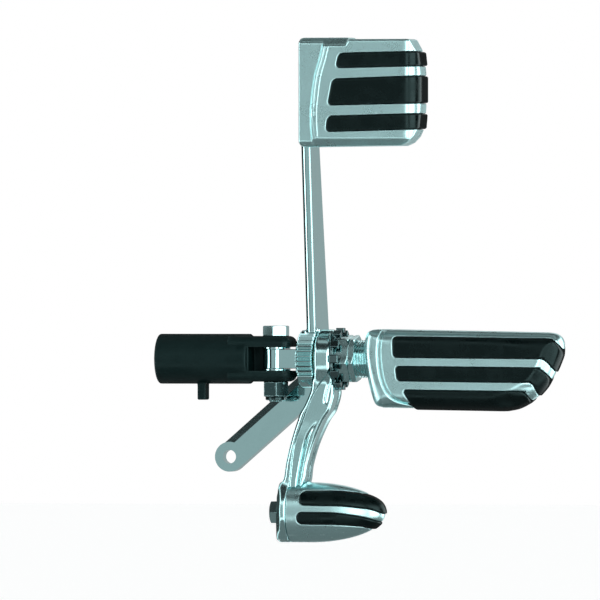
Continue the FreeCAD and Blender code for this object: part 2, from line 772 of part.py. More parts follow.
def pad_bands():
    """The three strips of the pad: upper and lower edges, outboard ends past the pad."""
    left = value("dims.pad_left")
    height = value("dims.pad_height")
    low = value("dims.pad_bottom")
    middle = left + value("dims.pad_length / 2")
    end = left + value("dims.pad_length") + 6
    shares = {
        "pad_tread_upper": ((25.4, 0.856, 0.873), (23.4, 0.723, 0.741)),
        "pad_tread_middle": ((21.6, 0.621, 0.652), (18.5, 0.383, 0.402)),
        "pad_tread_lower": ((18.5, 0.282, 0.307), (17.3, 0.141, 0.166)),
    }
    bands = {}
    for name, edges in shares.items():
        bands[name] = [
            [(left + inset, low + height * near_level), (middle, low + height * (near_level + far_level) / 2),
             (end, low + height * far_level)]
            for inset, near_level, far_level in edges
        ]
    return bands


def make_pad():
    depth = value("dims.groove_depth")
    proud = value("dims.rubber_proud")
    gap = value("dims.rubber_gap")
    corner = value("dims.pad_strip_corner")
    near = -value("dims.pad_back + dims.pad_depth") - 8
    back = -value("dims.pad_back")
    far_right = value("dims.pad_left + dims.pad_length") + 8
    shoulder = pad_plan(0, value("dims.pad_step"))
    cushion = pad_plan(0).common(ridge_prism(0, 0, far_right))
    bead = pad_plan(value("dims.ridge_rise")).common(ridge_prism(-value("dims.ridge_width"), 0))
    outside = shoulder.fuse([cushion, bead]).common(pad_elevation(0)).common(pad_section(0))
    wall = value("dims.pad_wall")
    inside = pad_plan(-wall).common(pad_elevation(wall)).common(pad_section(wall))
    cover = outside.cut(inside)
    plate_front = back - value("dims.backing_thickness") - value("dims.backing_gap")
    middle = Vector(value("dims.pad_left + dims.pad_length / 2 + 6"), 0,
                    value("dims.pad_bottom + dims.pad_height / 2"))
    spread = value("dims.pad_screw_spread") / 2
    floor = back - value("dims.pad_depth") + wall - 0.5
    screw_radius = value("dims.pad_screw_radius")
    screw_places = [middle + Vector(offset, 0, 0) for offset in (-spread, spread)]
    for place in screw_places:
        start = Vector(place.x, floor, place.z)
        tall = plate_front - floor
        cover = cover.fuse(Part.makeCylinder(value("dims.pad_boss_radius"), tall, start, Vector(0, 1, 0)))
        cover = cover.cut(Part.makeCylinder(screw_radius + gap, tall - 1.0, start + Vector(0, 1, 0),
                                            Vector(0, 1, 0)))
    for name, (upper, lower) in pad_bands().items():
        room = strip_prism(upper, lower, near, back, corner)
        cover = cover.cut(room.common(pad_plan(6).cut(pad_plan(-depth))))
        band = strip_prism(*inset_band(upper, lower, gap), near, back, corner - gap)
        tread = band.common(pad_plan(proud).cut(pad_plan(-depth)))
        cast(name, tread)
    cast("pad_cover", cover)
    slack = wall + value("dims.backing_gap")
    plate = pad_plan(-slack).common(pad_elevation(slack)).common(pad_section(slack))
    keep_zone = Part.makeBox(200, value("dims.backing_thickness"), 200,
                             Vector(0, back - value("dims.backing_thickness"), 60))
    plate = plate.common(keep_zone)
    screws = []
    for place in screw_places:
        hole = Part.makeCylinder(screw_radius + gap, 60, Vector(place.x, near, place.z), Vector(0, 1, 0))
        plate = plate.cut(hole)
        start = Vector(place.x, floor + 2.0, place.z)
        shank = Part.makeCylinder(screw_radius, back - floor - 2.0, start, Vector(0, 1, 0))
        head = Part.makeCylinder(value("dims.pad_screw_head_radius"), value("dims.pad_screw_head_height"),
                                 Vector(place.x, back, place.z), Vector(0, 1, 0))
        rim = [edge for edge in head.Edges if edge.BoundBox.YMin > back + 1 and edge.Closed]
        head = head.makeFillet(value("dims.pad_screw_head_height") * 0.6, rim[:1])
        screws.append(shank.fuse(head).removeSplitter())
    cast("pad_plate", plate)
    cast("pad_screws", Part.makeCompound(screws))


# Curved arm and small peg


def arm_stations():
    """Middle line of the arm seen from the rear: place, drop, set back, width and depth of each station."""
    start = value("dims.hub_start + dims.hub_width + dims.arm_gap + dims.boss_width / 2")
    foot = value("dims.toe_face - dims.toe_flange_thickness / 2")
    sweep = value("dims.arm_sweep")
    width = value("dims.arm_width")
    depth = value("dims.arm_depth")
    drop = value("dims.toe_drop")
    back = value("dims.arm_set_back")
    flange = value("dims.toe_flange_thickness")
    shape = [
        (0.0, 0.0, 1.0, 0.55, 1.15),
        (-0.02, 0.14, 1.0, 0.92, 1.15),
        (-0.03, 0.22, 1.0, 1.04, 1.15),
        (-0.18, 0.31, 0.9, 1.08, 1.12),
        (-0.41, 0.40, 0.7, 1.02, 1.08),
        (-0.68, 0.54, 0.3, 0.96, 1.0),
        (-0.87, 0.68, 0.0, 0.93, 1.0),
        (-0.95, 0.79, 0.0, 0.90, 1.1),
    ]
    stations = [
        (start + sweep * aside, drop * down, back * behind, width * wide, depth * deep)
        for aside, down, behind, wide, deep in shape
    ]
    stations.append((foot + flange * 0.2, drop * 0.92, 0.0, flange * 1.2, depth * 1.25))
    stations.append((foot, drop * 1.02, 0.0, flange, depth * 1.3))
    stations.append((foot, drop + value("dims.toe_height") * 0.45, 0.0, flange, depth * 1.2))
    return stations


def arm_loft(share_width, share_depth, lift):
    """A smooth solid down the middle line of the arm."""
    stations = arm_stations()
    wires = []
    for number, (x, drop, back, width, depth) in enumerate(stations):
        before = stations[max(number - 1, 0)]
        after = stations[min(number + 1, len(stations) - 1)]
        along = Vector(after[0] - before[0], 0, before[1] - after[1]).normalize()
        side = Vector(-along.z, 0, along.x)
        middle = Vector(x, lift * depth / 2 - back, -drop)
        radius = min(width * share_width, depth * share_depth) * 0.34
        wires.append(rounded_wire(middle, side, Vector(0, 1, 0), width * share_width,
                                  depth * share_depth, radius))
    return Part.makeLoft(wires, True, False)


def toe_solid(grow):
    """The small peg: a short barrel that runs out into a rounded nose."""
    face = value("dims.toe_face")
    length = value("dims.toe_length") + grow
    radius = value("dims.toe_height") / 2 + grow
    barrel = value("dims.toe_barrel")
    start = Vector(face, 0, 0)
    shoulder = Vector(face + barrel, 0, radius)
    tip = Vector(face + length, 0, 0)
    quarter = Part.Ellipse(Vector(face + barrel, 0, 0), length - barrel, radius)
    nose = Part.Arc(quarter, 0, math.pi / 2).toShape()
    nose.rotate(Vector(face + barrel, 0, 0), Vector(1, 0, 0), 90)
    outline = Part.Wire(Part.__sortEdges__([
        Part.makeLine(start, Vector(face, 0, radius)),
        Part.makeLine(Vector(face, 0, radius), shoulder),
        nose,
        Part.makeLine(tip, start),
    ]))
    round_peg = Part.Face(outline).revolve(Vector(0, 0, 0), Vector(1, 0, 0), 360)
    squash = Matrix()
    squash.scale(Vector(1, value("dims.toe_depth / dims.toe_height"), 1))
    flat_peg = round_peg.transformGeometry(squash)
    flat_peg.translate(Vector(0, 0, -value("dims.toe_drop")))
    return flat_peg


def toe_bands():
    """The two strips of the small peg, which run round its nose."""
    face = value("dims.toe_face")
    length = value("dims.toe_length")
    axis = -value("dims.toe_drop")
    half = value("dims.toe_height") / 2
    shares = {
        "toe_tread_upper": (
            ((0.145, 0.71), (0.40, 0.725), (0.56, 0.722), (0.75, 0.65), (0.89, 0.53), (1.06, 0.25)),
            ((0.145, 0.26), (0.40, 0.245), (0.59, 0.233), (0.785, 0.16), (0.89, 0.10), (1.06, -0.13)),
        ),
        "toe_tread_lower": (
            ((0.12, 0.005), (0.30, 0.0), (0.50, -0.01), (0.665, -0.075), (0.82, -0.167), (1.06, -0.42)),
            ((0.12, -0.385), (0.30, -0.39), (0.50, -0.40), (0.70, -0.44), (0.82, -0.50), (1.06, -0.78)),
        ),
    }
    bands = {}
    for name, edges in shares.items():
        bands[name] = [[(face + length * along, axis + half * level) for along, level in edge] for edge in edges]
    return bands


def make_arm():
    boss_start = value("dims.hub_start + dims.hub_width + dims.arm_gap")
    boss_width = value("dims.boss_width")
    boss = Part.makeCylinder(value("dims.boss_radius"), boss_width, Vector(boss_start, 0, 0), Vector(1, 0, 0))
    rims = [edge for edge in boss.Edges if edge.Closed]
    boss = boss.makeFillet(value("dims.boss_round"), rims)
    stem = arm_loft(1.0, 1.0, 0.0)
    foot_height = value("dims.toe_height")
    foot_start = value("dims.toe_face - dims.toe_flange_thickness")
    foot = Part.Wire([rounded_wire(Vector(foot_start, 0, -value("dims.toe_drop")), Vector(0, 1, 0),
                                   Vector(0, 0, 1), value("dims.toe_depth"), foot_height,
                                   value("dims.toe_depth") * 0.48)])
    flange = Part.Face(foot).extrude(Vector(value("dims.toe_flange_thickness"), 0, 0))
    arm = boss.fuse([stem, flange])
    channel = arm_loft(0.42, 0.5, -1.0)
    inner = value("dims.arm_channel")
    low = value("dims.toe_drop * 0.74")
    channel_zone = Part.makeBox(80, 40, low - 14, Vector(-20, -40 - value("dims.arm_depth") * 0.6 + inner, -low))
    trough = channel.common(channel_zone)
    arm = arm.cut(trough)
    bore = Part.makeCylinder(value("dims.journal_radius + dims.pivot_gap"), 60, Vector(boss_start - 10, 0, 0),
                             Vector(1, 0, 0))
    screw_hole = Part.makeCylinder(value("dims.toe_screw_radius + dims.thread_gap"), 30,
                                   Vector(foot_start - 10, 0, -value("dims.toe_drop")), Vector(1, 0, 0))
    relief = Part.makeCylinder(value("dims.hub_radius + dims.arm_gap"), 60, Vector(boss_start - 60, 0, 0),
                               Vector(1, 0, 0))
    washer_room = Part.makeCylinder(value("dims.washer_radius + dims.arm_gap"), 40,
                                    Vector(boss_start + boss_width, 0, 0), Vector(1, 0, 0))
    screw_seat = Part.makeCylinder(value("dims.toe_screw_flats") * 0.7, 40,
                                   Vector(foot_start - 40, 0, -value("dims.toe_drop")), Vector(1, 0, 0))
    saddle = value("dims.toe_drop - dims.toe_height / 2 + dims.arm_saddle")
    peg_room = Part.makeBox(60, 80, 80, Vector(value("dims.toe_face + dims.side_gap"), -40, -saddle - 80))
    for tool in (bore, screw_hole, relief, washer_room, screw_seat, peg_room, toe_solid(value("dims.side_gap"))):
        arm = arm.cut(tool)
    cast("toe_arm", arm)


def make_toe_peg():
    depth = value("dims.groove_depth")
    proud = value("dims.rubber_proud")
    gap = value("dims.rubber_gap")
    corner = value("dims.toe_strip_corner")
    near = -value("dims.toe_depth")
    far = value("dims.toe_depth") * 0.2
    body = toe_solid(0)
    outer = toe_solid(6)
    floor = toe_solid(-depth)
    surface = toe_solid(proud)
    for name, (upper, lower) in toe_bands().items():
        room = strip_prism(upper, lower, near, far, corner)
        body = body.cut(room.common(outer.cut(floor)))
        band = strip_prism(*inset_band(upper, lower, gap), near, far - gap, corner - gap)
        cast(name, band.common(surface.cut(floor)))
    axis = -value("dims.toe_drop")
    face = value("dims.toe_face")
    hole = Part.makeCylinder(value("dims.toe_screw_radius + dims.thread_gap"),
                             value("dims.toe_screw_reach") + 2, Vector(face, 0, axis), Vector(1, 0, 0))
    cast("toe_peg_body", body.cut(hole))


def make_toe_screw():
    head = add_hexagon("toe_screw_hexagon", "dims.toe_screw_flats", "dims.toe_screw_head")
    shank = add_cylinder("toe_screw_shank", "dims.toe_screw_radius",
                         "dims.toe_flange_thickness + dims.toe_screw_reach",
                         "-dims.toe_flange_thickness - dims.toe_screw_reach")
    screw = add_fuse("toe_screw_solid", [head, shank])
    screw.Placement = Placement(Vector(), Rotation(Vector(0, 1, 0), -90))
    shift(screw, x="dims.pin_reach + dims.toe_face - dims.toe_flange_thickness", z="-dims.toe_drop")
    keep(screw, "toe_peg_screw")


# Fasteners on the spindle


def make_tab_washer():
    body = new_body("tab_washer")
    disc = plane_sketch(body, "YZ_Plane", "washer_outline")
    draw_circle(disc, "0", "0", "dims.washer_radius - dims.tab_length / 2")
    draw_circle(disc, "0", "0", "dims.stud_radius + dims.thread_gap")
    pad(body, disc, "dims.washer_thickness")
    tab = plane_sketch(body, "YZ_Plane", "tab_outline")
    draw_box(tab, "dims.washer_radius - dims.tab_length", "-dims.tab_width / 2", "dims.washer_radius",
             "dims.tab_width / 2")
    one = pad(body, tab, "dims.washer_thickness + dims.tab_rise")
    pattern(body, one, tab, "dims.washer_tabs")
    shift(body, x="dims.pin_reach + dims.hub_start + dims.hub_width + dims.arm_gap + dims.boss_width")


def make_spindle_nut(name, height, start):
    hexagon = add_hexagon(name + "_hexagon", "dims.hex_flats", height)
    bore = add_cylinder(name + "_bore", "dims.stud_radius + dims.thread_gap", height)
    nut = add_cut(name + "_solid", hexagon, bore)
    lay_along_x(nut, start)
    keep(nut, name)


def make_peg_collar(start):
    outside = add_cylinder("collar_outside", "dims.collar_radius", "dims.collar_length")
    bore = add_cylinder("collar_bore", "dims.stud_radius + dims.thread_gap", "dims.collar_length")
    collar = add_cut("collar_solid", outside, bore)
    lay_along_x(collar, start)
    keep(collar, "peg_collar")


# Large peg


def peg_start():
    """Inboard end of the large peg from the clevis pin."""
    boss_end = "dims.hub_start + dims.hub_width + dims.arm_gap + dims.boss_width"
    nuts = "dims.washer_thickness + dims.hex_height + dims.jam_height"
    return value("%s + %s + dims.collar_length - dims.peg_sink" % (boss_end, nuts))


def peg_stations():
    """Sections along the large peg: top point, bottom point (place, height) and depth of each."""
    length = value("dims.peg_length")
    height = value("dims.peg_height")
    depth = value("dims.peg_depth")
    top = value("dims.peg_top")
    low = top - height
    fall = value("dims.peg_fall")
    lean = value("dims.peg_lean")
    sweep = value("dims.nose_sweep")
    turn = value("dims.nose_round")
    stations = [
        ((0.4, top - height * 0.19), (lean * 0.35, low + height * 0.30), depth - 13.0),
        ((1.0, top - height * 0.10), (lean * 0.55, low + height * 0.17), depth - 7.0),
        ((2.4, top - height * 0.035), (lean * 0.9, low + height * 0.07), depth - 3.0),
        ((4.8, top - height * 0.005), (lean + 2.6, low + height * 0.035), depth - 0.8),
        ((8.0, top), (lean + 5.0, low + height * 0.028), depth),
    ]
    straight = length - sweep
    for share in (0.30, 0.45, 0.60, 0.75, 0.9):
        place = straight * share
        stations.append(((place, top - fall * place / length), (place, low + height * 0.03 * (1 - share)), depth))
    nose = ((0.0, 0.004, 1.0), (0.22, 0.035, 1.0), (0.42, 0.10, 1.0), (0.60, 0.20, 1.0), (0.75, 0.335, 1.0),
            (0.86, 0.475, 1.04), (0.94, 0.615, 1.5), (1.0, 0.735, 3.6))
    for share, rise, drop in nose:
        place = straight + sweep * share
        beyond = max(turn - (length - place), 0.0)
        narrow = turn - math.sqrt(turn * turn - beyond * beyond)
        stations.append(((place, top - fall * drop), (place, low + height * rise), depth - 2 * narrow * 0.94))
    return stations


def peg_solid(grow):
    """The large peg as a smooth solid, larger or smaller all over by a margin."""
    start = peg_start()
    stations = peg_stations()
    wires = []
    for number, (head, foot, depth) in enumerate(stations):
        upper = Vector(start + head[0], 0, head[1])
        lower = Vector(start + foot[0], 0, foot[1])
        up = (upper - lower).normalize()
        middle = (upper + lower) * 0.5
        if number == len(stations) - 1:
            middle.x += grow
        if number == 0:
            middle.x -= grow
        wires.append(rounded_wire(middle, Vector(0, 1, 0), up, depth + 2 * grow,
                                  (upper - lower).Length + 2 * grow, value("dims.peg_corner")))
    return Part.makeLoft(wires, True, False)


def peg_bands():
    """The three strips of the large peg, which turn down where they reach the nose."""
    start = peg_start()
    end = start + value("dims.peg_length")
    top = value("dims.peg_top")
    height = value("dims.peg_height")
    slope = math.radians(value("dims.strip_turn"))
    reach = 34.0
    shares = {
        "peg_tread_upper": ((18.2, 0.091, 7.6, 0.124), (18.6, 0.347, 14.2, 0.364)),
        "peg_tread_middle": ((20.0, 0.459, 15.0, 0.487), (21.0, 0.636, 22.6, 0.661)),
        "peg_tread_lower": ((24.5, 0.750, 25.6, 0.769), (35.5, 1.2, 60.0, 1.2)),
    }
    bands = {}
    for name, edges in shares.items():
        bands[name] = []
        for left, near_drop, back, far_drop in edges:
            turn = (end - back, top - height * far_drop)
            beyond = (turn[0] + reach * math.cos(slope), turn[1] - reach * math.sin(slope))
            bands[name].append([(start + left, top - height * near_drop), turn, beyond])
    return bands


def ring_slab():
    """A thin leaning slab that marks where the ring groove runs."""
    start = peg_start()
    slab = Part.makeBox(value("dims.ring_width"), 120, 120, Vector(0, -60, -60))
    slab.rotate(Vector(0, 0, 0), Vector(0, 1, 0), value("dims.ring_lean"))
    slab.translate(Vector(start + value("dims.ring_place"), 0, 0))
    return slab


def make_peg():
    depth = value("dims.groove_depth")
    gap = value("dims.rubber_gap")
    corner = value("dims.strip_corner")
    bend = value("dims.strip_bend")
    near = -value("dims.peg_depth")
    far = value("dims.peg_depth") * 0.2
    body = peg_solid(0)
    outer = peg_solid(6)
    floor = peg_solid(-depth)
    surface = peg_solid(value("dims.rubber_proud"))
    skin = outer.cut(floor)
    rubber = surface.cut(floor)
    for name, (upper, lower) in peg_bands().items():
        body = body.cut(strip_prism(upper, lower, near, far, corner, bend).common(skin))
        band = strip_prism(*inset_band(upper, lower, gap), near, far - gap, corner - gap, bend)
        cast(name, band.common(rubber))
    ring = outer.cut(peg_solid(-value("dims.ring_depth"))).common(ring_slab())
    body = body.cut(ring)
    start = Vector(peg_start(), 0, 0)
    socket = Part.makeCylinder(value("dims.collar_radius + dims.thread_gap"), value("dims.peg_sink") + 6,
                               start - Vector(6, 0, 0), Vector(1, 0, 0))
    thread = Part.makeCylinder(value("dims.stud_radius + dims.thread_gap"), value("dims.stud_in_peg") + 2,
                               start, Vector(1, 0, 0))
    cast("peg_body", body.cut(socket).cut(thread))


make_mount_tube()
make_clevis_bolt()
make_clevis_nut()
make_shim("upper_shim", "dims.slot_half_height - dims.shim_thickness")
make_shim("lower_shim", "-dims.slot_half_height")
make_spindle()
make_lever_bush()
make_tail_bar(make_pedal_lever())
make_pad()
make_arm()
make_toe_peg()
make_toe_screw()
make_tab_washer()
NUT_START = "dims.pin_reach + dims.hub_start + dims.hub_width + dims.arm_gap + dims.boss_width"
NUT_START += " + dims.washer_thickness"
make_spindle_nut("spindle_nut", "dims.hex_height", NUT_START)
make_spindle_nut("lock_nut", "dims.jam_height", NUT_START + " + dims.hex_height")
make_peg_collar(NUT_START + " + dims.hex_height + dims.jam_height")
make_peg()
doc.recompute()

for thing in doc.Objects:
    if "Invalid" in thing.State or "Error" in thing.State:
        raise RuntimeError("%s is not built: %s" % (thing.Name, thing.State))
for name, thing in nodes.items():
    if thing.Shape.isNull() or not thing.Shape.isValid() or not thing.Shape.Solids:
        raise RuntimeError("%s has no sound solid" % name)
for name, thing in nodes.items():
    thing.Shape.exportStep("parts/%s.step" % name)
    print(name, len(thing.Shape.Solids), round(thing.Shape.Volume))
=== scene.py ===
"""Looks of the foot pegs, the pedal and their mount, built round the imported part."""

import logging
import math
from dataclasses import dataclass
from enum import Enum
from typing import Callable, Sequence

import bpy
import numpy as np
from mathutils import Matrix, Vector

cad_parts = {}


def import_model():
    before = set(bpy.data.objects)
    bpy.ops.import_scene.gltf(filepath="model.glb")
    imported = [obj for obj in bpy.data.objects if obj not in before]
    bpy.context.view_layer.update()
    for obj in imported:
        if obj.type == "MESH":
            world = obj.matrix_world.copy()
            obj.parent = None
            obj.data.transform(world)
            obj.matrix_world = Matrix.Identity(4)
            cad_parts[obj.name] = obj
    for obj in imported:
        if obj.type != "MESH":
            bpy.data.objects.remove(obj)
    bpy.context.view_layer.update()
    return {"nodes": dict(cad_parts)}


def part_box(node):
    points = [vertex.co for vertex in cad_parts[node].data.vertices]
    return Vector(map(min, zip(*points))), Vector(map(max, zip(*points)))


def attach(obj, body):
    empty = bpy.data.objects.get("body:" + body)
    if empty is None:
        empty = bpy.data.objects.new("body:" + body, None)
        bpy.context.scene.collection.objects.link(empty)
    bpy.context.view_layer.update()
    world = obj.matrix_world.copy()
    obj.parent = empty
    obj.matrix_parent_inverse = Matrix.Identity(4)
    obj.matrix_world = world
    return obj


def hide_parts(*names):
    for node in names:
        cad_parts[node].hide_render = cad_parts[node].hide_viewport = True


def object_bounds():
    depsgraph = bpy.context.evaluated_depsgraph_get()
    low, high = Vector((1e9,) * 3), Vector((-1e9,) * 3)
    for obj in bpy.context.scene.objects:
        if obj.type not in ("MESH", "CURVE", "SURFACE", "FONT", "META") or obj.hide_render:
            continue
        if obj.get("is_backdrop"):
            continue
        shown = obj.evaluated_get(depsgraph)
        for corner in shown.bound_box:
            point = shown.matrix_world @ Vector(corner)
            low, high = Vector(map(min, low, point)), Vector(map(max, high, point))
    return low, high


LOG = logging.getLogger("foot_pegs")
MM = 0.001
Field = Callable[[np.ndarray, np.ndarray, np.ndarray], np.ndarray]
Point = tuple[float, float]


class Body(Enum):
    """The bodies of the part that pieces ride on."""

    MOUNT = "mount"
    SPINDLE = "spindle"
    PEDAL = "pedal"
    TOE = "toe"


class Slot(Enum):
    """The record's material slots."""

    PAINT = "black_paint"
    CHROME = "chrome"
    CASTING = "satin_casting"
    PLATED = "plated_steel"
    BLACKENED = "blackened_steel"
    BRONZE = "bronze"
    RUBBER = "rubber"


# Distances in millimetres, negative inside


def round_max(a: np.ndarray, b: np.ndarray, radius: float) -> np.ndarray:
    """Both shapes at once, with a round edge where they meet.

    Args:
        a: distance to the first shape.
        b: distance to the second shape.
        radius: size of the round edge.

    Returns:
        Distance to what the two shapes share.
    """
    corner = np.hypot(np.maximum(a + radius, 0.0), np.maximum(b + radius, 0.0))
    return np.minimum(np.maximum(a, b), -radius) + corner


def soft_max(a: np.ndarray, b: np.ndarray, reach: float) -> np.ndarray:
    """What two shapes share, with a softened edge.

    Args:
        a: distance to the first shape.
        b: distance to the second shape.
        reach: width of the softened zone.

    Returns:
        Distance to the shared shape.
    """
    share = np.maximum(reach - np.abs(a - b), 0.0) / reach
    return np.maximum(a, b) + share * share * reach * 0.25


def soft_min(a: np.ndarray, b: np.ndarray, reach: float) -> np.ndarray:
    """Two shapes as one, with a fillet between them."""
    return -soft_max(-a, -b, reach)


def cut(shape: np.ndarray, tool: np.ndarray, reach: float = 0.5) -> np.ndarray:
    """A shape with a tool taken out of it, the rim slightly rounded."""
    return soft_max(shape, -tool, reach)


def ramp(value: np.ndarray, start: float, end: float) -> np.ndarray:
    """A smooth step from 0 at start to 1 at end."""
    share = np.clip((value - start) / (end - start), 0.0, 1.0)
    return share * share * (3.0 - 2.0 * share)


def between_levels(z: np.ndarray, ends: tuple[Point, Point]) -> np.ndarray:
    """1 between an upper and a lower end, fading to 0 past each."""
    upper, lower = ends
    return ramp(z, *upper) * ramp(z, *lower)


def smooth_path(points: Sequence[Sequence[float]], steps: int = 10) -> np.ndarray:
    """Points along a smooth open curve through a few given ones.

    Args:
        points: the given points, with any number of values each.
        steps: new points between two given ones.

    Returns:
        An array with one row for each point.
    """
    given = np.array(points, float)
    ends = np.vstack([2 * given[0] - given[1], given, 2 * given[-1] - given[-2]])
    rows = []
    for number in range(1, len(ends) - 2):
        a, b, c, d = ends[number - 1:number + 3]
        for share in np.arange(steps) / steps:
            one = 2 * b + (c - a) * share
            two = (2 * a - 5 * b + 4 * c - d) * share ** 2
            three = (3 * b - a - 3 * c + d) * share ** 3
            rows.append((one + two + three) / 2)
    rows.append(given[-1])
    return np.array(rows)


class Outline:
    """A closed flat outline whose signed distance is read from a table."""

    def __init__(self, points: Sequence[Point], pitch: float = 0.4, margin: float = 9.0) -> None:
        """Work out the table.

        Args:
            points: corners of the outline, in order.
            pitch: spacing of the table.
            margin: how far the table reaches outside the outline.
        """
        corners = np.array(points, float)
        self.pitch = pitch
        self.low = corners.min(0) - margin
        counts = np.ceil((corners.max(0) + margin - self.low) / pitch).astype(int) + 1
        across = self.low[0] + np.arange(counts[0]) * pitch
        up = self.low[1] + np.arange(counts[1]) * pitch
        place = np.stack(np.meshgrid(across, up, indexing="ij"), -1).reshape(-1, 2)
        nearest = np.full(len(place), 1e9)
        inside = np.zeros(len(place), bool)
        for a, b in zip(corners, np.roll(corners, -1, 0)):
            along = b - a
            length = max(float(along @ along), 1e-12)
            share = np.clip(((place - a) @ along) / length, 0.0, 1.0)
            gap = np.linalg.norm(place - a - share[:, None] * along, axis=1)
            nearest = np.minimum(nearest, gap)
            straddles = (a[1] > place[:, 1]) != (b[1] > place[:, 1])
            rise = along[1] if abs(along[1]) > 1e-12 else 1e-12
            inside ^= straddles & (place[:, 0] < a[0] + (place[:, 1] - a[1]) * along[0] / rise)
        self.table = np.where(inside, -nearest, nearest).reshape(counts)

    def distance(self, a: np.ndarray, b: np.ndarray) -> np.ndarray:
        """Signed distance from points given by their two coordinates.

        Args:
            a: first coordinate of each point.
            b: second coordinate.

        Returns:
            Distances, negative inside.
        """
        places = []
        for value, low, count in zip((a, b), self.low, self.table.shape):
            step = np.clip((value - low) / self.pitch, 0.0, count - 1.001)
            whole = step.astype(int)
            places.append((whole, step - whole))
        (i, s), (j, t) = places
        near = self.table[i, j] * (1 - s) + self.table[i + 1, j] * s
        far = self.table[i, j + 1] * (1 - s) + self.table[i + 1, j + 1] * s
        return near * (1 - t) + far * t


@dataclass(frozen=True)
class Wrap:
    """How far strips drop past the line where they turn round a nose."""

    line: np.ndarray
    drops: np.ndarray

    def unroll(self, x: np.ndarray, z: np.ndarray) -> tuple[np.ndarray, np.ndarray]:
        """Height that a point had before the drop, and how far heights are stretched there.

        Args:
            x: places outboard, in millimetres.
            z: places upward.

        Returns:
            The heights before the drop, and the stretch at each place.
        """
        beyond = x - np.interp(z, self.line[:, 1], self.line[:, 0])
        slopes = np.gradient(self.drops[:, 1], self.drops[:, 0])
        drop = np.interp(beyond, self.drops[:, 0], self.drops[:, 1])
        slope = np.interp(beyond, self.drops[:, 0], slopes)
        leans = np.gradient(self.line[:, 0], self.line[:, 1])
        lean = np.interp(z, self.line[:, 1], leans)
        return z + drop, np.hypot(slope, 1.0 - slope * lean)


def past_line(line: np.ndarray, x: np.ndarray, z: np.ndarray) -> np.ndarray:
    """Distance outboard of a line that runs up and down, square to the line.

    Args:
        line: points on the line, from low to high.
        x: places outboard, in millimetres.
        z: places upward.

    Returns:
        Distances, positive outboard of the line.
    """
    leans = np.gradient(line[:, 0], line[:, 1])
    lean = np.interp(z, line[:, 1], leans)
    return (x - np.interp(z, line[:, 1], line[:, 0])) / np.hypot(1.0, lean)


@dataclass(frozen=True)
class Strip:
    """A rubber strip seen from the rear: its upper and lower edge as paths that run outboard."""

    name: str
    upper: np.ndarray
    lower: np.ndarray
    corner: float
    wrap: Wrap | None = None

    @staticmethod
    def _above(path: np.ndarray, x: np.ndarray, z: np.ndarray) -> np.ndarray:
        """Distance above a path, negative below it.

        Args:
            path: points on the path, from inboard to outboard.
            x: places outboard, in millimetres.
            z: places upward.

        Returns:
            Distances from the path.
        """
        slopes = np.gradient(path[:, 1], path[:, 0])
        slope = np.interp(x, path[:, 0], slopes)
        return (z - np.interp(x, path[:, 0], path[:, 1])) / np.sqrt(1.0 + slope * slope)

    def band(self, x: np.ndarray, z: np.ndarray) -> np.ndarray:
        """Distance outside the strip, seen from the rear.

        Args:
            x: places outboard, in millimetres.
            z: places upward.

        Returns:
            Distances, negative inside.
        """
        head, foot = self.upper[0], self.lower[0]
        tilt = (foot[0] - head[0]) / (foot[1] - head[1])
        left = (head[0] + (z - head[1]) * tilt - x) / math.hypot(1.0, tilt)
        stretch = 1.0
        if self.wrap is not None:
            z, stretch = self.wrap.unroll(x, z)
        edges = np.maximum(self._above(self.upper, x, z), -self._above(self.lower, x, z)) / stretch
        return round_max(left, edges, self.corner)


@dataclass(frozen=True)
class RubberFaced:
    """A casting whose rear face holds rubber strips in shallow pockets."""

    solid: Field
    strips: tuple[Strip, ...]
    far: float
    depth: float = 2.2
    proud: float = 0.9
    gap: float = 0.12
    rim: float = 0.95
    shoulder: float = 1.0

    def metal(self, x: np.ndarray, y: np.ndarray, z: np.ndarray) -> np.ndarray:
        """Distance to the casting with its pockets.

        Args:
            x: places outboard, in millimetres.
            y: places forward.
            z: places upward.

        Returns:
            Distances, negative inside.
        """
        skin = self.solid(x, y, z)
        shape = skin
        for strip in self.strips:
            pocket = np.maximum(strip.band(x, z), np.maximum(-(skin + self.depth), y - self.far))
            shape = cut(shape, pocket, self.rim)
        return shape

    def rubber(self, strip: Strip) -> Field:
        """The shape of one strip, with soft shoulders.

        Args:
            strip: the strip to shape.

        Returns:
            Distance to the strip.
        """

        def shape(x: np.ndarray, y: np.ndarray, z: np.ndarray) -> np.ndarray:
            """Distance to the strip.

            Args:
                x: places outboard, in millimetres.
                y: places forward.
                z: places upward.

            Returns:
                Distances, negative inside.
            """
            skin = self.solid(x, y, z)
            edge = np.maximum(strip.band(x, z) + self.gap, y - self.far + self.gap)
            top = round_max(skin - self.proud, edge, self.shoulder)
            return np.maximum(top, -(skin + self.depth - self.gap))

        return shape


# Meshes from distances


CORNERS = np.array([(i, j, k) for i in (0, 1) for j in (0, 1) for k in (0, 1)])
EDGES = [(a, b) for a in range(8) for b in range(a + 1, 8) if np.abs(CORNERS[a] - CORNERS[b]).sum() == 1]
BLOCK = 4


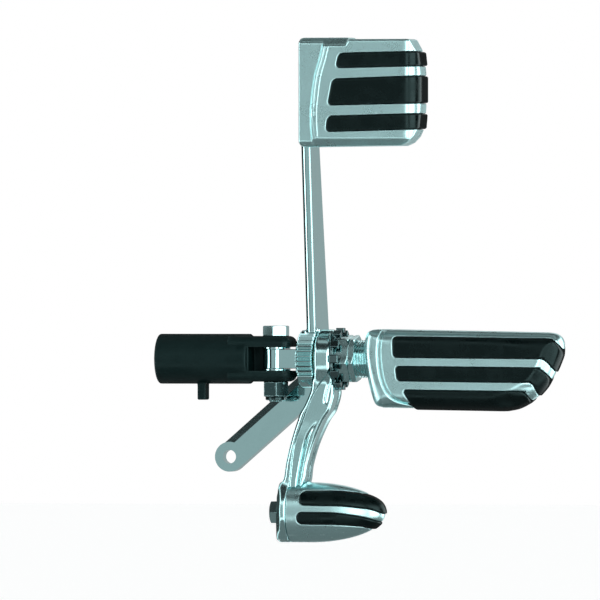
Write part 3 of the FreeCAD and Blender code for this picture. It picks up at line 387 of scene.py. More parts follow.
@dataclass(frozen=True)
class Lattice:
    """The box and the spacing at which a shape is sampled."""

    low: tuple[float, float, float]
    high: tuple[float, float, float]
    step: float

    def _sample(self, shape: Field) -> tuple[np.ndarray, np.ndarray]:
        """Distances on the grid, worked out in full only near the surface.

        Args:
            shape: distance to the shape.

        Returns:
            The distances on the grid, and the grid's lowest corner.
        """
        low = np.array(self.low) - 2 * self.step
        blocks = np.ceil((np.array(self.high) + 2 * self.step - low) / (self.step * BLOCK)).astype(int)
        coarse = [low[a] + (np.arange(blocks[a]) + 0.5) * BLOCK * self.step - self.step / 2 for a in range(3)]
        grid = np.meshgrid(*coarse, indexing="ij")
        rough = shape(grid[0].ravel(), grid[1].ravel(), grid[2].ravel()).reshape(grid[0].shape)
        near = np.abs(rough) < self.step * BLOCK * 1.9
        values = np.sign(rough) * 1e3
        for axis in range(3):
            values = np.repeat(values, BLOCK, axis)
            near = np.repeat(near, BLOCK, axis)
        places = np.argwhere(near)
        points = low + places * self.step
        values[near] = shape(points[:, 0], points[:, 1], points[:, 2])
        return values, low

    def skin(self, shape: Field) -> tuple[np.ndarray, np.ndarray]:
        """The surface of a shape as four-sided faces.

        Args:
            shape: distance to the shape.

        Returns:
            The points in millimetres and the faces as rows of four point numbers.
        """
        values, low = self._sample(shape)
        inside = values < 0.0
        size = np.array(values.shape) - 1
        filled = np.zeros(size, np.uint8)
        for i, j, k in CORNERS:
            filled += inside[i:i + size[0], j:j + size[1], k:k + size[2]]
        cells = np.argwhere((filled > 0) & (filled < 8))
        number = np.full(size, -1, np.int64)
        number[tuple(cells.T)] = np.arange(len(cells))
        at = [values[tuple((cells + corner).T)] for corner in CORNERS]
        total = np.zeros((len(cells), 3))
        count = np.zeros(len(cells))
        for a, b in EDGES:
            crosses = (at[a] < 0.0) != (at[b] < 0.0)
            gap = np.where(crosses, at[a] - at[b], 1.0)
            share = np.where(crosses, at[a] / gap, 0.0)
            spot = CORNERS[a] + share[:, None] * (CORNERS[b] - CORNERS[a])
            total += np.where(crosses[:, None], spot, 0.0)
            count += crosses
        points = low + (cells + total / count[:, None]) * self.step
        return points, self._faces(inside, number)

    @staticmethod
    def _faces(inside: np.ndarray, number: np.ndarray) -> np.ndarray:
        """Join the four cells round each grid edge that the surface crosses.

        Args:
            inside: which grid points lie inside the shape.
            number: number of the point in each cell, or -1.

        Returns:
            Rows of four point numbers.
        """
        faces = []
        for axis in range(3):
            u, v = (axis + 1) % 3, (axis + 2) % 3
            first = np.take(inside, range(inside.shape[axis] - 1), axis)
            second = np.take(inside, range(1, inside.shape[axis]), axis)
            spots = np.argwhere(first != second)
            limits = np.array(number.shape)
            spots = spots[(spots[:, u] > 0) & (spots[:, v] > 0)
                          & (spots[:, u] < limits[u]) & (spots[:, v] < limits[v])]
            ring = []
            for du, dv in ((-1, -1), (0, -1), (0, 0), (-1, 0)):
                cell = spots.copy()
                cell[:, u] += du
                cell[:, v] += dv
                ring.append(number[tuple(cell.T)])
            quads = np.stack(ring, 1)
            outward = first[tuple(spots.T)]
            faces.append(np.where(outward[:, None], quads, quads[:, ::-1]))
        joined = np.vstack(faces)
        return joined[(joined >= 0).all(1)]


def slope_of(shape: Field, points: np.ndarray, step: float = 0.08) -> np.ndarray:
    """The direction in which the distance grows, at each point.

    Args:
        shape: distance to the shape.
        points: the points, one to a row.
        step: how far to look to each side, in millimetres.

    Returns:
        One direction for each point, not scaled to a length.
    """
    rows = []
    for axis in range(3):
        shift = np.zeros(3)
        shift[axis] = step
        ahead, behind = (points + shift).T, (points - shift).T
        rows.append((shape(*ahead) - shape(*behind)) / (2 * step))
    return np.stack(rows, 1)


def settle(shape: Field, points: np.ndarray, limit: float) -> np.ndarray:
    """Move points onto the surface, each by no more than a limit.

    Args:
        shape: distance to the shape.
        points: the points, one to a row.
        limit: longest move of one pass, in millimetres.

    Returns:
        The moved points.
    """
    for _ in range(2):
        slope = slope_of(shape, points)
        size = np.maximum((slope * slope).sum(1), 0.04)
        move = -(shape(*points.T) / size)[:, None] * slope
        length = np.linalg.norm(move, axis=1)
        points = points + move * np.minimum(1.0, limit / np.maximum(length, 1e-9))[:, None]
    return points


def finished_mesh(mesh: bpy.types.Mesh, modifiers: Sequence[tuple[str, dict]]) -> bpy.types.Mesh:
    """A mesh after a few modifiers.

    Args:
        mesh: the mesh to start from.
        modifiers: kind and settings of each modifier, in order.

    Returns:
        A new mesh.
    """
    bench = bpy.data.objects.new("bench", mesh)
    bpy.context.scene.collection.objects.link(bench)
    for kind, settings in modifiers:
        modifier = bench.modifiers.new(kind.lower(), kind)
        for key, value in settings.items():
            setattr(modifier, key, value)
    graph = bpy.context.evaluated_depsgraph_get()
    made = bpy.data.meshes.new_from_object(bench.evaluated_get(graph))
    bpy.data.objects.remove(bench)
    return made


def shaped_mesh(name: str, shape: Field, lattice: Lattice, most: int = 150000) -> bpy.types.Mesh:
    """A mesh that follows a shape, with the shape's own normals.

    Args:
        name: name of the mesh.
        shape: distance to the shape.
        lattice: where and how finely to sample it.
        most: the most triangles that are kept.

    Returns:
        The mesh, in metres.
    """
    points, faces = lattice.skin(shape)
    points = settle(shape, points, lattice.step * 0.6)
    mesh = bpy.data.meshes.new(name)
    mesh.from_pydata((points * MM).tolist(), [], faces.tolist())
    triangles = 2 * len(faces)
    if triangles > most:
        mesh = finished_mesh(mesh, [("DECIMATE", {"ratio": most / triangles})])
        mesh.name = name
    flat = np.zeros(len(mesh.vertices) * 3)
    mesh.vertices.foreach_get("co", flat)
    points = settle(shape, flat.reshape(-1, 3) / MM, lattice.step * 0.3)
    mesh.vertices.foreach_set("co", (points * MM).ravel())
    mesh.polygons.foreach_set("use_smooth", [True] * len(mesh.polygons))
    mesh.update()
    slope = slope_of(shape, points)
    slope /= np.maximum(np.linalg.norm(slope, axis=1), 1e-9)[:, None]
    mesh.normals_split_custom_set_from_vertices(slope.tolist())
    LOG.info("%s: %d faces from %d", name, len(mesh.polygons), triangles)
    return mesh


def softened_copy(node: bpy.types.Object, width: float, angle: float = 32.0) -> bpy.types.Mesh:
    """A copy of a node's mesh with its sharp edges rounded.

    Args:
        node: the node's object.
        width: width of the rounding in millimetres.
        angle: edges sharper than this are rounded, in degrees.

    Returns:
        A new mesh.
    """
    mesh = node.data.copy()
    mesh.materials.clear()
    if mesh.has_custom_normals:
        mesh.attributes.remove(mesh.attributes["custom_normal"])
    weld = ("WELD", {"merge_threshold": 2e-6})
    flatten = ("DECIMATE", {"decimate_type": "DISSOLVE", "angle_limit": math.radians(0.4)})
    bevel = ("BEVEL", {"width": width * MM, "segments": 3, "limit_method": "ANGLE",
                       "angle_limit": math.radians(angle), "harden_normals": True,
                       "use_clamp_overlap": True, "miter_outer": "MITER_ARC"})
    made = finished_mesh(mesh, [weld, flatten])
    made.polygons.foreach_set("use_smooth", [True] * len(made.polygons))
    made.set_sharp_from_angle(angle=math.radians(angle))
    return finished_mesh(made, [bevel, ("WEIGHTED_NORMAL", {"keep_sharp": True})])


# Node helpers and shared effects


class NodeBench:
    """Adds nodes to one tree and joins them."""

    def __init__(self, tree: bpy.types.NodeTree) -> None:
        """Start on a tree."""
        self.tree = tree

    def add(self, kind: str, inputs: dict | None = None, **settings: object) -> bpy.types.Node:
        """A node with its settings and inputs.

        Args:
            kind: the node's type, without its usual prefix.
            inputs: socket name or number to a value or another node's output.
            settings: the node's own properties.

        Returns:
            The node.
        """
        node = self.tree.nodes.new("ShaderNode" + kind)
        for key, value in settings.items():
            setattr(node, key, value)
        for key, value in (inputs or {}).items():
            socket = node.inputs[key]
            if isinstance(value, bpy.types.NodeSocket):
                self.tree.links.new(value, socket)
            else:
                socket.default_value = value
        return node

    def math(self, operation: str, *values: object) -> bpy.types.NodeSocket:
        """The result of a sum, product or the like."""
        node = self.add("Math", dict(enumerate(values)), operation=operation)
        return node.outputs[0]

    def between(self, value: object, low: float, high: float, start: float = 0.0,
                end: float = 1.0) -> bpy.types.NodeSocket:
        """A value spread smoothly from one range to another.

        Args:
            value: the value to spread.
            low: value that gives start.
            high: value that gives end.
            start: result at low.
            end: result at high.

        Returns:
            The output that holds the result.
        """
        node = self.add("MapRange", {"Value": value, "From Min": low, "From Max": high, "To Min": start,
                                     "To Max": end}, interpolation_type="SMOOTHSTEP")
        return node.outputs["Result"]

    def blend(self, share: object, first: object, second: object) -> bpy.types.NodeSocket:
        """One colour where the share is 0, the other where it is 1.

        Args:
            share: how much of the second colour shows.
            first: colour or output where the share is 0.
            second: colour or output where the share is 1.

        Returns:
            The output that holds the colour.
        """
        node = self.add("Mix", data_type="RGBA")
        for key, value in (("Factor_Float", share), ("A_Color", first), ("B_Color", second)):
            socket = next(item for item in node.inputs if item.identifier == key)
            if isinstance(value, bpy.types.NodeSocket):
                self.tree.links.new(value, socket)
            else:
                socket.default_value = value
        return next(item for item in node.outputs if item.identifier == "Result_Color")


def new_group(name: str, inputs: dict[str, float], outputs: Sequence[str]) -> tuple:
    """An empty shader group with number inputs and outputs.

    Args:
        name: the group's name.
        inputs: each input with its usual value.
        outputs: names of the outputs.

    Returns:
        The group, a bench on it, its input node and its output node.
    """
    group = bpy.data.node_groups.new(name, "ShaderNodeTree")
    for label, value in inputs.items():
        socket = group.interface.new_socket(label, in_out="INPUT", socket_type="NodeSocketFloat")
        socket.default_value = value
    for label in outputs:
        group.interface.new_socket(label, in_out="OUTPUT", socket_type="NodeSocketFloat")
    start = group.nodes.new("NodeGroupInput")
    end = group.nodes.new("NodeGroupOutput")
    return group, NodeBench(group), start, end


class Effects:
    """The shader groups that several finishes share."""

    def __init__(self) -> None:
        """Build each group once."""
        self.grain = self._grain()
        self.worn_highlit_edges = self._worn_highlit_edges()
        self.smudge = self._smudge()

    @staticmethod
    def _grain() -> bpy.types.NodeTree:
        """Fine speckle of a blasted or moulded surface.

        Returns:
            The shader group.
        """
        usual = {"Size": 0.45, "Spread": 0.5}
        group, bench, start, end = new_group("fine_grain", usual, ["Speckle", "Height"])
        place = bench.add("TexCoord").outputs["Object"]
        scale = bench.math("DIVIDE", 1000.0, start.outputs["Size"])
        coarse = bench.add("TexNoise", {"Vector": place, "Scale": scale, "Detail": 3.0, "Roughness": 0.6})
        finer = bench.math("MULTIPLY", scale, 2.7)
        fine = bench.add("TexNoise", {"Vector": place, "Scale": finer, "Detail": 2.0, "Roughness": 0.55})
        mixed = bench.math("ADD", bench.math("MULTIPLY", coarse.outputs["Fac"], 0.6),
                           bench.math("MULTIPLY", fine.outputs["Fac"], 0.4))
        half = bench.math("MULTIPLY", start.outputs["Spread"], 0.25)
        speckle = bench.add("MapRange", {"Value": mixed, "From Min": bench.math("SUBTRACT", 0.5, half),
                                         "From Max": bench.math("ADD", 0.5, half)})
        group.links.new(speckle.outputs[0], end.inputs["Speckle"])
        group.links.new(mixed, end.inputs["Height"])
        return group

    @staticmethod
    def _worn_highlit_edges() -> bpy.types.NodeTree:
        """Mask of sharp edges that are drawn lighter: partly handling wear, partly a painted edge highlight.

        Returns:
            The shader group.
        """
        group, bench, start, end = new_group("worn_highlit_edge_mask", {"Reach": 0.05, "Breakup": 0.4}, ["Mask"])
        sharp = bench.add("NewGeometry").outputs["Pointiness"]
        place = bench.add("TexCoord").outputs["Object"]
        noise = bench.add("TexNoise", {"Vector": place, "Scale": 420.0, "Detail": 4.0})
        shift = bench.math("MULTIPLY", bench.math("SUBTRACT", noise.outputs["Fac"], 0.5),
                           bench.math("MULTIPLY", start.outputs["Breakup"], 0.1))
        level = bench.math("ADD", sharp, shift)
        top = bench.math("ADD", 0.505, start.outputs["Reach"])
        mask = bench.add("MapRange", {"Value": level, "From Min": 0.505, "From Max": top})
        group.links.new(mask.outputs[0], end.inputs["Mask"])
        return group

    @staticmethod
    def _smudge() -> bpy.types.NodeTree:
        """Slow change over a surface, as from handling and polishing.

        Returns:
            The shader group.
        """
        group, bench, start, end = new_group("handling", {"Size": 14.0, "Contrast": 0.5}, ["Tone"])
        place = bench.add("TexCoord").outputs["Object"]
        scale = bench.math("DIVIDE", 1000.0, start.outputs["Size"])
        noise = bench.add("TexNoise", {"Vector": place, "Scale": scale, "Detail": 5.0, "Roughness": 0.6,
                                       "Distortion": 0.4})
        half = bench.math("MULTIPLY", bench.math("SUBTRACT", 1.1, start.outputs["Contrast"]), 0.25)
        tone = bench.add("MapRange", {"Value": noise.outputs["Fac"],
                                      "From Min": bench.math("SUBTRACT", 0.5, half),
                                      "From Max": bench.math("ADD", 0.5, half)})
        group.links.new(tone.outputs[0], end.inputs["Tone"])
        return group


Colour = tuple[float, float, float]


def rgba(colour: Colour, factor: float = 1.0) -> tuple[float, float, float, float]:
    """A colour with an alpha, made lighter or darker by a factor."""
    return (colour[0] * factor, colour[1] * factor, colour[2] * factor, 1.0)


@dataclass(frozen=True)
class Finish:
    """A surface finish: its colours, gloss and fine relief."""

    name: str
    slot: Slot
    colour: Colour
    metallic: float
    roughness: float
    speckle: float = 0.0
    speckle_size: float = 0.45
    relief: float = 0.0
    smudge: float = 0.06
    # Lighter colour on sharp edges: part handling wear, part painted highlight.
    edge_colour: Colour | None = None
    edge_reach: float = 0.05
    gloss: float = 0.5
    lines: float = 0.0
    wave: float = 0.0

    def material(self, effects: Effects) -> bpy.types.Material:
        """The finish as a procedural material.

        Args:
            effects: the shader groups that finishes share.

        Returns:
            A new material.
        """
        made = bpy.data.materials.new(self.name)
        made.use_nodes = True
        tree = made.node_tree
        tree.nodes.clear()
        bench = NodeBench(tree)
        shader = bench.add("BsdfPrincipled")
        shader.inputs["Metallic"].default_value = self.metallic
        shader.inputs["Specular IOR Level"].default_value = self.gloss
        if not self.metallic:
            shader.inputs["Specular Tint"].default_value = (0.62, 1.0, 1.0, 1.0)
        grain = bench.add("Group", node_tree=effects.grain)
        grain.inputs["Size"].default_value = self.speckle_size
        grain.inputs["Spread"].default_value = 0.7
        tone = bench.add("Group", node_tree=effects.smudge)
        dark = rgba(self.colour, 1.0 - self.speckle)
        light = rgba(self.colour, 1.0 + self.speckle)
        colour = bench.blend(grain.outputs["Speckle"], dark, light)
        veil = bench.math("MULTIPLY", tone.outputs["Tone"], self.smudge)
        colour = bench.blend(veil, colour, rgba(self.colour, 0.72))
        # Sharp edges take the lighter edge colour: part handling wear, part painted highlight.
        if self.edge_colour is not None:
            worn_highlit_edges = bench.add("Group", node_tree=effects.worn_highlit_edges)
            worn_highlit_edges.inputs["Reach"].default_value = self.edge_reach
            colour = bench.blend(worn_highlit_edges.outputs["Mask"], colour, rgba(self.edge_colour))
        tree.links.new(colour, shader.inputs["Base Color"])
        rough = bench.between(tone.outputs["Tone"], 0.0, 1.0, self.roughness * (1.0 - self.smudge * 1.5),
                              self.roughness * (1.0 + self.smudge * 2.0))
        if self.speckle:
            rough = bench.math("ADD", rough, bench.math("MULTIPLY", bench.math(
                "SUBTRACT", grain.outputs["Speckle"], 0.5), self.speckle * 0.25))
        tree.links.new(rough, shader.inputs["Roughness"])
        self._relief(bench, shader, grain)
        surface = shader.outputs[0]
        # Painted shade: paint and rubber drop their sheen where they are seen edge-on, so those faces render
        # darker.
        if not self.metallic:
            facing = bench.add("LayerWeight").outputs["Facing"]
            edge_on_shade = bench.add("BsdfDiffuse")
            tree.links.new(colour, edge_on_shade.inputs["Color"])
            edge_on_shade_mix = bench.add("MixShader")
            tree.links.new(bench.between(facing, 0.45, 0.75, 0.0, 0.85), edge_on_shade_mix.inputs["Fac"])
            tree.links.new(surface, edge_on_shade_mix.inputs[1])
            tree.links.new(edge_on_shade.outputs[0], edge_on_shade_mix.inputs[2])
            surface = edge_on_shade_mix.outputs[0]
        end = bench.add("OutputMaterial")
        tree.links.new(surface, end.inputs["Surface"])
        return made

    def _relief(self, bench: NodeBench, shader: bpy.types.Node, grain: bpy.types.Node) -> None:
        """Fine bumps from the grain, and from tool lines where the finish has them.

        Args:
            bench: the bench of the material's tree.
            shader: the node that takes the normals.
            grain: the node of the grain group.
        """
        height = grain.outputs["Height"]
        if self.lines:
            place = bench.add("TexCoord").outputs["Object"]
            squeezed = bench.add("Mapping", {"Vector": place, "Scale": (5200.0, 260.0, 260.0)})
            lines = bench.add("TexNoise", {"Vector": squeezed.outputs[0], "Scale": 1.0, "Detail": 3.0})
            height = bench.math("ADD", bench.math("MULTIPLY", lines.outputs["Fac"], self.lines),
                                bench.math("MULTIPLY", height, 1.0 - self.lines))
        bump = bench.add("Bump", {"Height": height, "Distance": self.relief * MM})
        if self.wave:
            place = bench.add("TexCoord").outputs["Object"]
            slow = bench.add("TexNoise", {"Vector": place, "Scale": 110.0, "Detail": 1.5})
            wavy = bench.add("Bump", {"Height": slow.outputs["Fac"], "Distance": self.wave * MM * 10})
            bench.tree.links.new(wavy.outputs["Normal"], bump.inputs["Normal"])
        bench.tree.links.new(bump.outputs["Normal"], shader.inputs["Normal"])


CASTING = Finish("satin_casting", Slot.CASTING, (0.50, 0.78, 0.79), 1.0, 0.30, speckle=0.12,
                 speckle_size=0.55, relief=0.014, edge_colour=(0.66, 0.95, 0.96), edge_reach=0.10)
POLISHED = Finish("polished_casting", Slot.CASTING, (0.50, 0.79, 0.80), 1.0, 0.16, speckle=0.04,
                  speckle_size=0.6, relief=0.003, wave=0.014)
CHROME = Finish("chrome_plate", Slot.CHROME, (0.51, 0.80, 0.81), 1.0, 0.08, speckle=0.02,
                speckle_size=1.2, smudge=0.10, wave=0.012)
FORGED = Finish("chromed_forging", Slot.CHROME, (0.51, 0.80, 0.81), 1.0, 0.09, speckle=0.02,
                speckle_size=1.2, smudge=0.10, wave=0.016)
PLATED = Finish("zinc_plate", Slot.PLATED, (0.50, 0.77, 0.78), 1.0, 0.15, speckle=0.05,
                speckle_size=0.5, relief=0.003, lines=0.5, wave=0.02)
TEMPERED = Finish("tempered_steel", Slot.PLATED, (0.13, 0.21, 0.215), 1.0, 0.16, speckle=0.06,
                  speckle_size=0.5, relief=0.003, wave=0.02)
BLACKENED = Finish("dark_oxide", Slot.BLACKENED, (0.018, 0.034, 0.035), 1.0, 0.24, speckle=0.12,
                   relief=0.004, edge_colour=(0.50, 0.78, 0.80), edge_reach=0.09)
BRONZE = Finish("oiled_bronze", Slot.BRONZE, (0.40, 0.33, 0.19), 1.0, 0.32, speckle=0.08, relief=0.005)
PAINT = Finish("black_paint", Slot.PAINT, (0.0022, 0.0085, 0.0085), 0.0, 0.42, speckle=0.25,
               speckle_size=0.9, relief=0.008, smudge=0.2, edge_colour=(0.012, 0.026, 0.026), gloss=0.22)
RUBBER = Finish("moulded_rubber", Slot.RUBBER, (0.0008, 0.0027, 0.0027), 0.0, 0.25, speckle=0.35,
                speckle_size=0.5, relief=0.016, smudge=0.25, edge_colour=(0.010, 0.022, 0.022),
                edge_reach=0.12, gloss=0.26)


class Workshop:
    """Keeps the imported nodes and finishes, and adds each finished piece to the scene."""

    def __init__(self, nodes: dict[str, bpy.types.Object]) -> None:
        """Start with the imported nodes.

        Args:
            nodes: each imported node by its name.
        """
        self.nodes = nodes
        self.effects = Effects()
        self.made: dict[str, bpy.types.Material] = {}

    def material(self, finish: Finish) -> bpy.types.Material:
        """The material of a finish, built once.

        Args:
            finish: the finish.

        Returns:
            Its material.
        """
        if finish.name not in self.made:
            self.made[finish.name] = finish.material(self.effects)
        return self.made[finish.name]

    def place(self, node: str, mesh: bpy.types.Mesh, body: Body, finish: Finish) -> bpy.types.Object:
        """Put a piece in the scene in place of its node.

        Args:
            node: the node that the piece stands for.
            mesh: the piece's mesh, in the part's own frame.
            body: the body that it moves with.
            finish: its surface.

        Returns:
            The piece.
        """
        piece = bpy.data.objects.new(node + "_piece", mesh)
        bpy.context.scene.collection.objects.link(piece)
        mesh.materials.clear()
        mesh.materials.append(self.material(finish))
        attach(piece, body.value)
        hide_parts(node)
        LOG.info("placed %s on %s", node, body.value)
        return piece

    def soften(self, node: str, body: Body, finish: Finish, width: float = 0.3) -> bpy.types.Object:
        """Place a copy of a node with rounded edges."""
        return self.place(node, softened_copy(self.nodes[node], width), body, finish)

    def shape(self, node: str, shape: Field, step: float, body: Body, finish: Finish,
              most: int = 150000) -> bpy.types.Object:
        """Place a piece that is worked out from distances, within its node's box.

        Args:
            node: the node that the piece stands for.
            shape: distance to the piece.
            step: spacing of the grid, in millimetres.
            body: the body that it moves with.
            finish: its surface.
            most: the most triangles that are kept.

        Returns:
            The piece.
        """
        low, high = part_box(node)
        lattice = Lattice(tuple(low / MM), tuple(high / MM), step)
        return self.place(node, shaped_mesh(node, shape, lattice, most), body, finish)


# The mount


CHAMFER_RUN = 0.5
CHAMFER_RISE = 0.866
CHAMFER_START = 1.03
NUT_EDGE = 0.25
THREAD_DEPTH = 0.55
THREAD_FLANK = 0.75


def hexagon(a: np.ndarray, b: np.ndarray, flats: float, turn: float) -> np.ndarray:
    """Distance to a hexagon round an axis.

    Args:
        a: one coordinate square to the axis.
        b: the other one.
        flats: size across the flats.
        turn: direction of one flat, in degrees from a to b.

    Returns:
        Distance in the plane square to the axis.
    """
    flat = np.full_like(a, -1e9)
    for step in range(6):
        angle = math.radians(turn + 60.0 * step)
        flat = np.maximum(flat, a * math.cos(angle) + b * math.sin(angle))
    return flat - flats / 2


def hex_block(a: np.ndarray, b: np.ndarray, along: np.ndarray, flats: float, half: float,
              turn: float, both_ends: bool = True) -> np.ndarray:
    """Distance to a hexagonal nut or head with its corners chamfered.

    Args:
        a: one coordinate square to the axis.
        b: the other one.
        along: coordinate on the axis from the middle.
        flats: size across the flats.
        half: half the height.
        turn: direction of one flat, in degrees from a to b.
        both_ends: whether both ends are chamfered, or only the far one.

    Returns:
        Distance to the block.
    """
    sides = hexagon(a, b, flats, turn)
    reach = np.abs(along) if both_ends else along
    cone = (np.hypot(a, b) - flats / 2 * CHAMFER_START) * CHAMFER_RUN + (reach - half) * CHAMFER_RISE
    return round_max(soft_max(sides, cone, NUT_EDGE), np.abs(along) - half, NUT_EDGE)


def thread(radius: float, pitch: float, a: np.ndarray, b: np.ndarray, along: np.ndarray) -> np.ndarray:
    """Distance to a threaded rod.

    Args:
        radius: radius over the crests.
        pitch: distance between two crests.
        a: one coordinate square to the axis.
        b: the other one.
        along: coordinate on the axis.

    Returns:
        Distance to the rod.
    """
    phase = along / pitch - np.arctan2(b, a) / (2 * math.pi)
    crest = np.abs(phase - np.round(phase)) * 2.0
    return (np.hypot(a, b) - radius + pitch * THREAD_DEPTH * crest) * THREAD_FLANK


@dataclass(frozen=True)
class ClevisMount:
    """The black clevis mount with its bolt, nut and shims."""

    pin: float = 72.0
    tube_end: float = 56.8
    tube_radius: float = 15.0
    half_width: float = 12.3
    half_height: float = 13.7
    slot_root: float = 57.9
    slot_half: float = 7.1
    web_radius: float = 9.2
    hole: float = 4.88
    bolt_radius: float = 4.7
    bolt_flats: float = 14.3
    bolt_turn: float = -59.5
    nut_flats: float = 14.6
    nut_turn: float = -45.5
    collar_height: float = 2.3
    collar_radius: float = 6.3
    lug: tuple[float, float, float] = (26.8, 2.5, 4.5)
    tube_edge: float = 1.0
    ear_edge: float = 5.0
    ear_end_edge: float = 4.6
    ear_root: float = 12.0
    lug_edge: float = 0.8
    lug_fillet: float = 1.2
    web_end: float = 2.0
    web_face: float = 2.5
    slot_edge: float = 0.7
    frame_bore: Point = (5.1, 22.0)
    thread_length: float = 12.5
    thread_pitch: float = 1.2
    bolt_point: float = 0.9
    shim_edge: float = 0.15
    step: float = 0.45
    fine_step: float = 0.28

    def build(self, shop: Workshop) -> None:
        """Shape the mount's pieces.

        Args:
            shop: the workshop that places the pieces.
        """
        shop.shape("mount_tube", self._forging, self.step, Body.MOUNT, PAINT, 55000)
        shop.shape("clevis_bolt", self._bolt(), self.fine_step, Body.MOUNT, PLATED, 24000)
        shop.shape("clevis_nut", self._nut(), self.fine_step, Body.MOUNT, BLACKENED, 24000)
        for shim in ("upper_shim", "lower_shim"):
            shop.soften(shim, Body.MOUNT, PLATED, self.shim_edge)

    def _forging(self, x: np.ndarray, y: np.ndarray, z: np.ndarray) -> np.ndarray:
        """Distance to the forging: the round part, the ears and the stop lug.

        Args:
            x: places outboard, in millimetres.
            y: places forward.
            z: places upward.

        Returns:
            Distances, negative inside.
        """
        low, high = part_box("mount_tube")
        turn = np.hypot(y, z)
        tube = round_max(turn - self.tube_radius, np.maximum(-x, x - self.tube_end), self.tube_edge)
        ears = round_max(np.abs(y) - self.half_width, np.abs(z) - self.half_height, self.ear_edge)
        ears = round_max(ears, x - high.x / MM, self.ear_end_edge)
        ears = np.maximum(ears, self.tube_end - self.ear_root - x)
        place, half_length, half_width = self.lug
        lug = np.maximum(np.abs(x - place) - half_length, np.abs(y) - half_width)
        lug = round_max(round_max(lug, low.z / MM - z, self.lug_edge), z, self.lug_edge)
        whole = soft_min(np.minimum(tube, ears), lug, self.lug_fillet)
        around = np.hypot(x - self.pin, y)
        web = np.maximum(x - self.pin + self.web_end, self.web_radius - around)
        web = np.maximum(web, self.web_face - y)
        slot = cut(np.maximum(np.abs(z) - self.slot_half, self.slot_root - x), web, 0.5)
        whole = cut(whole, slot, self.slot_edge)
        whole = cut(whole, around - self.hole, 0.3)
        radius, depth = self.frame_bore
        return cut(whole, np.maximum(turn - radius, x - depth), 0.4)

    def _bolt(self) -> Field:
        """The bolt: chamfered head, shank and the end of its thread.

        Returns:
            Distance to the bolt.
        """
        low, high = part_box("clevis_bolt")
        foot, top = low.z / MM, high.z / MM
        under = self.half_height

        def shape(x: np.ndarray, y: np.ndarray, z: np.ndarray) -> np.ndarray:
            """Distance to the bolt.

            Args:
                x: places outboard, in millimetres.
                y: places forward.
                z: places upward.

            Returns:
                Distances, negative inside.
            """
            a, b = x - self.pin, y
            middle, half = (top + under) / 2, (top - under) / 2
            head = hex_block(a, b, z - middle, self.bolt_flats, half, self.bolt_turn, False)
            shank = round_max(np.hypot(a, b) - self.bolt_radius, np.maximum(foot - z, z - top + 1.0), 0.5)
            cone = (np.hypot(a, b) - self.bolt_radius + self.bolt_point + foot - z) * 0.7
            threaded = np.maximum(shank, thread(self.bolt_radius, self.thread_pitch, a, b, z))
            shank = np.where(z < foot + self.thread_length, threaded, shank)
            return np.minimum(head, np.maximum(shank, cone))

        return shape

    def _nut(self) -> Field:
        """The nut with its locking collar.

        Returns:
            Distance to the nut.
        """
        low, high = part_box("clevis_nut")
        foot, top = low.z / MM, high.z / MM

        def shape(x: np.ndarray, y: np.ndarray, z: np.ndarray) -> np.ndarray:
            """Distance to the nut.

            Args:
                x: places outboard, in millimetres.
                y: places forward.
                z: places upward.

            Returns:
                Distances, negative inside.
            """
            a, b = x - self.pin, y
            seat = foot + self.collar_height
            middle, half = (top + seat) / 2, (top - seat) / 2
            block = hex_block(a, b, z - middle, self.nut_flats, half, self.nut_turn)
            collar = round_max(np.hypot(a, b) - self.collar_radius, np.maximum(foot - z, z - middle), 0.9)
            return cut(soft_min(block, collar, 0.5), np.hypot(a, b) - self.bolt_radius - 0.1, 0.4)

        return shape


# The spindle and its fasteners


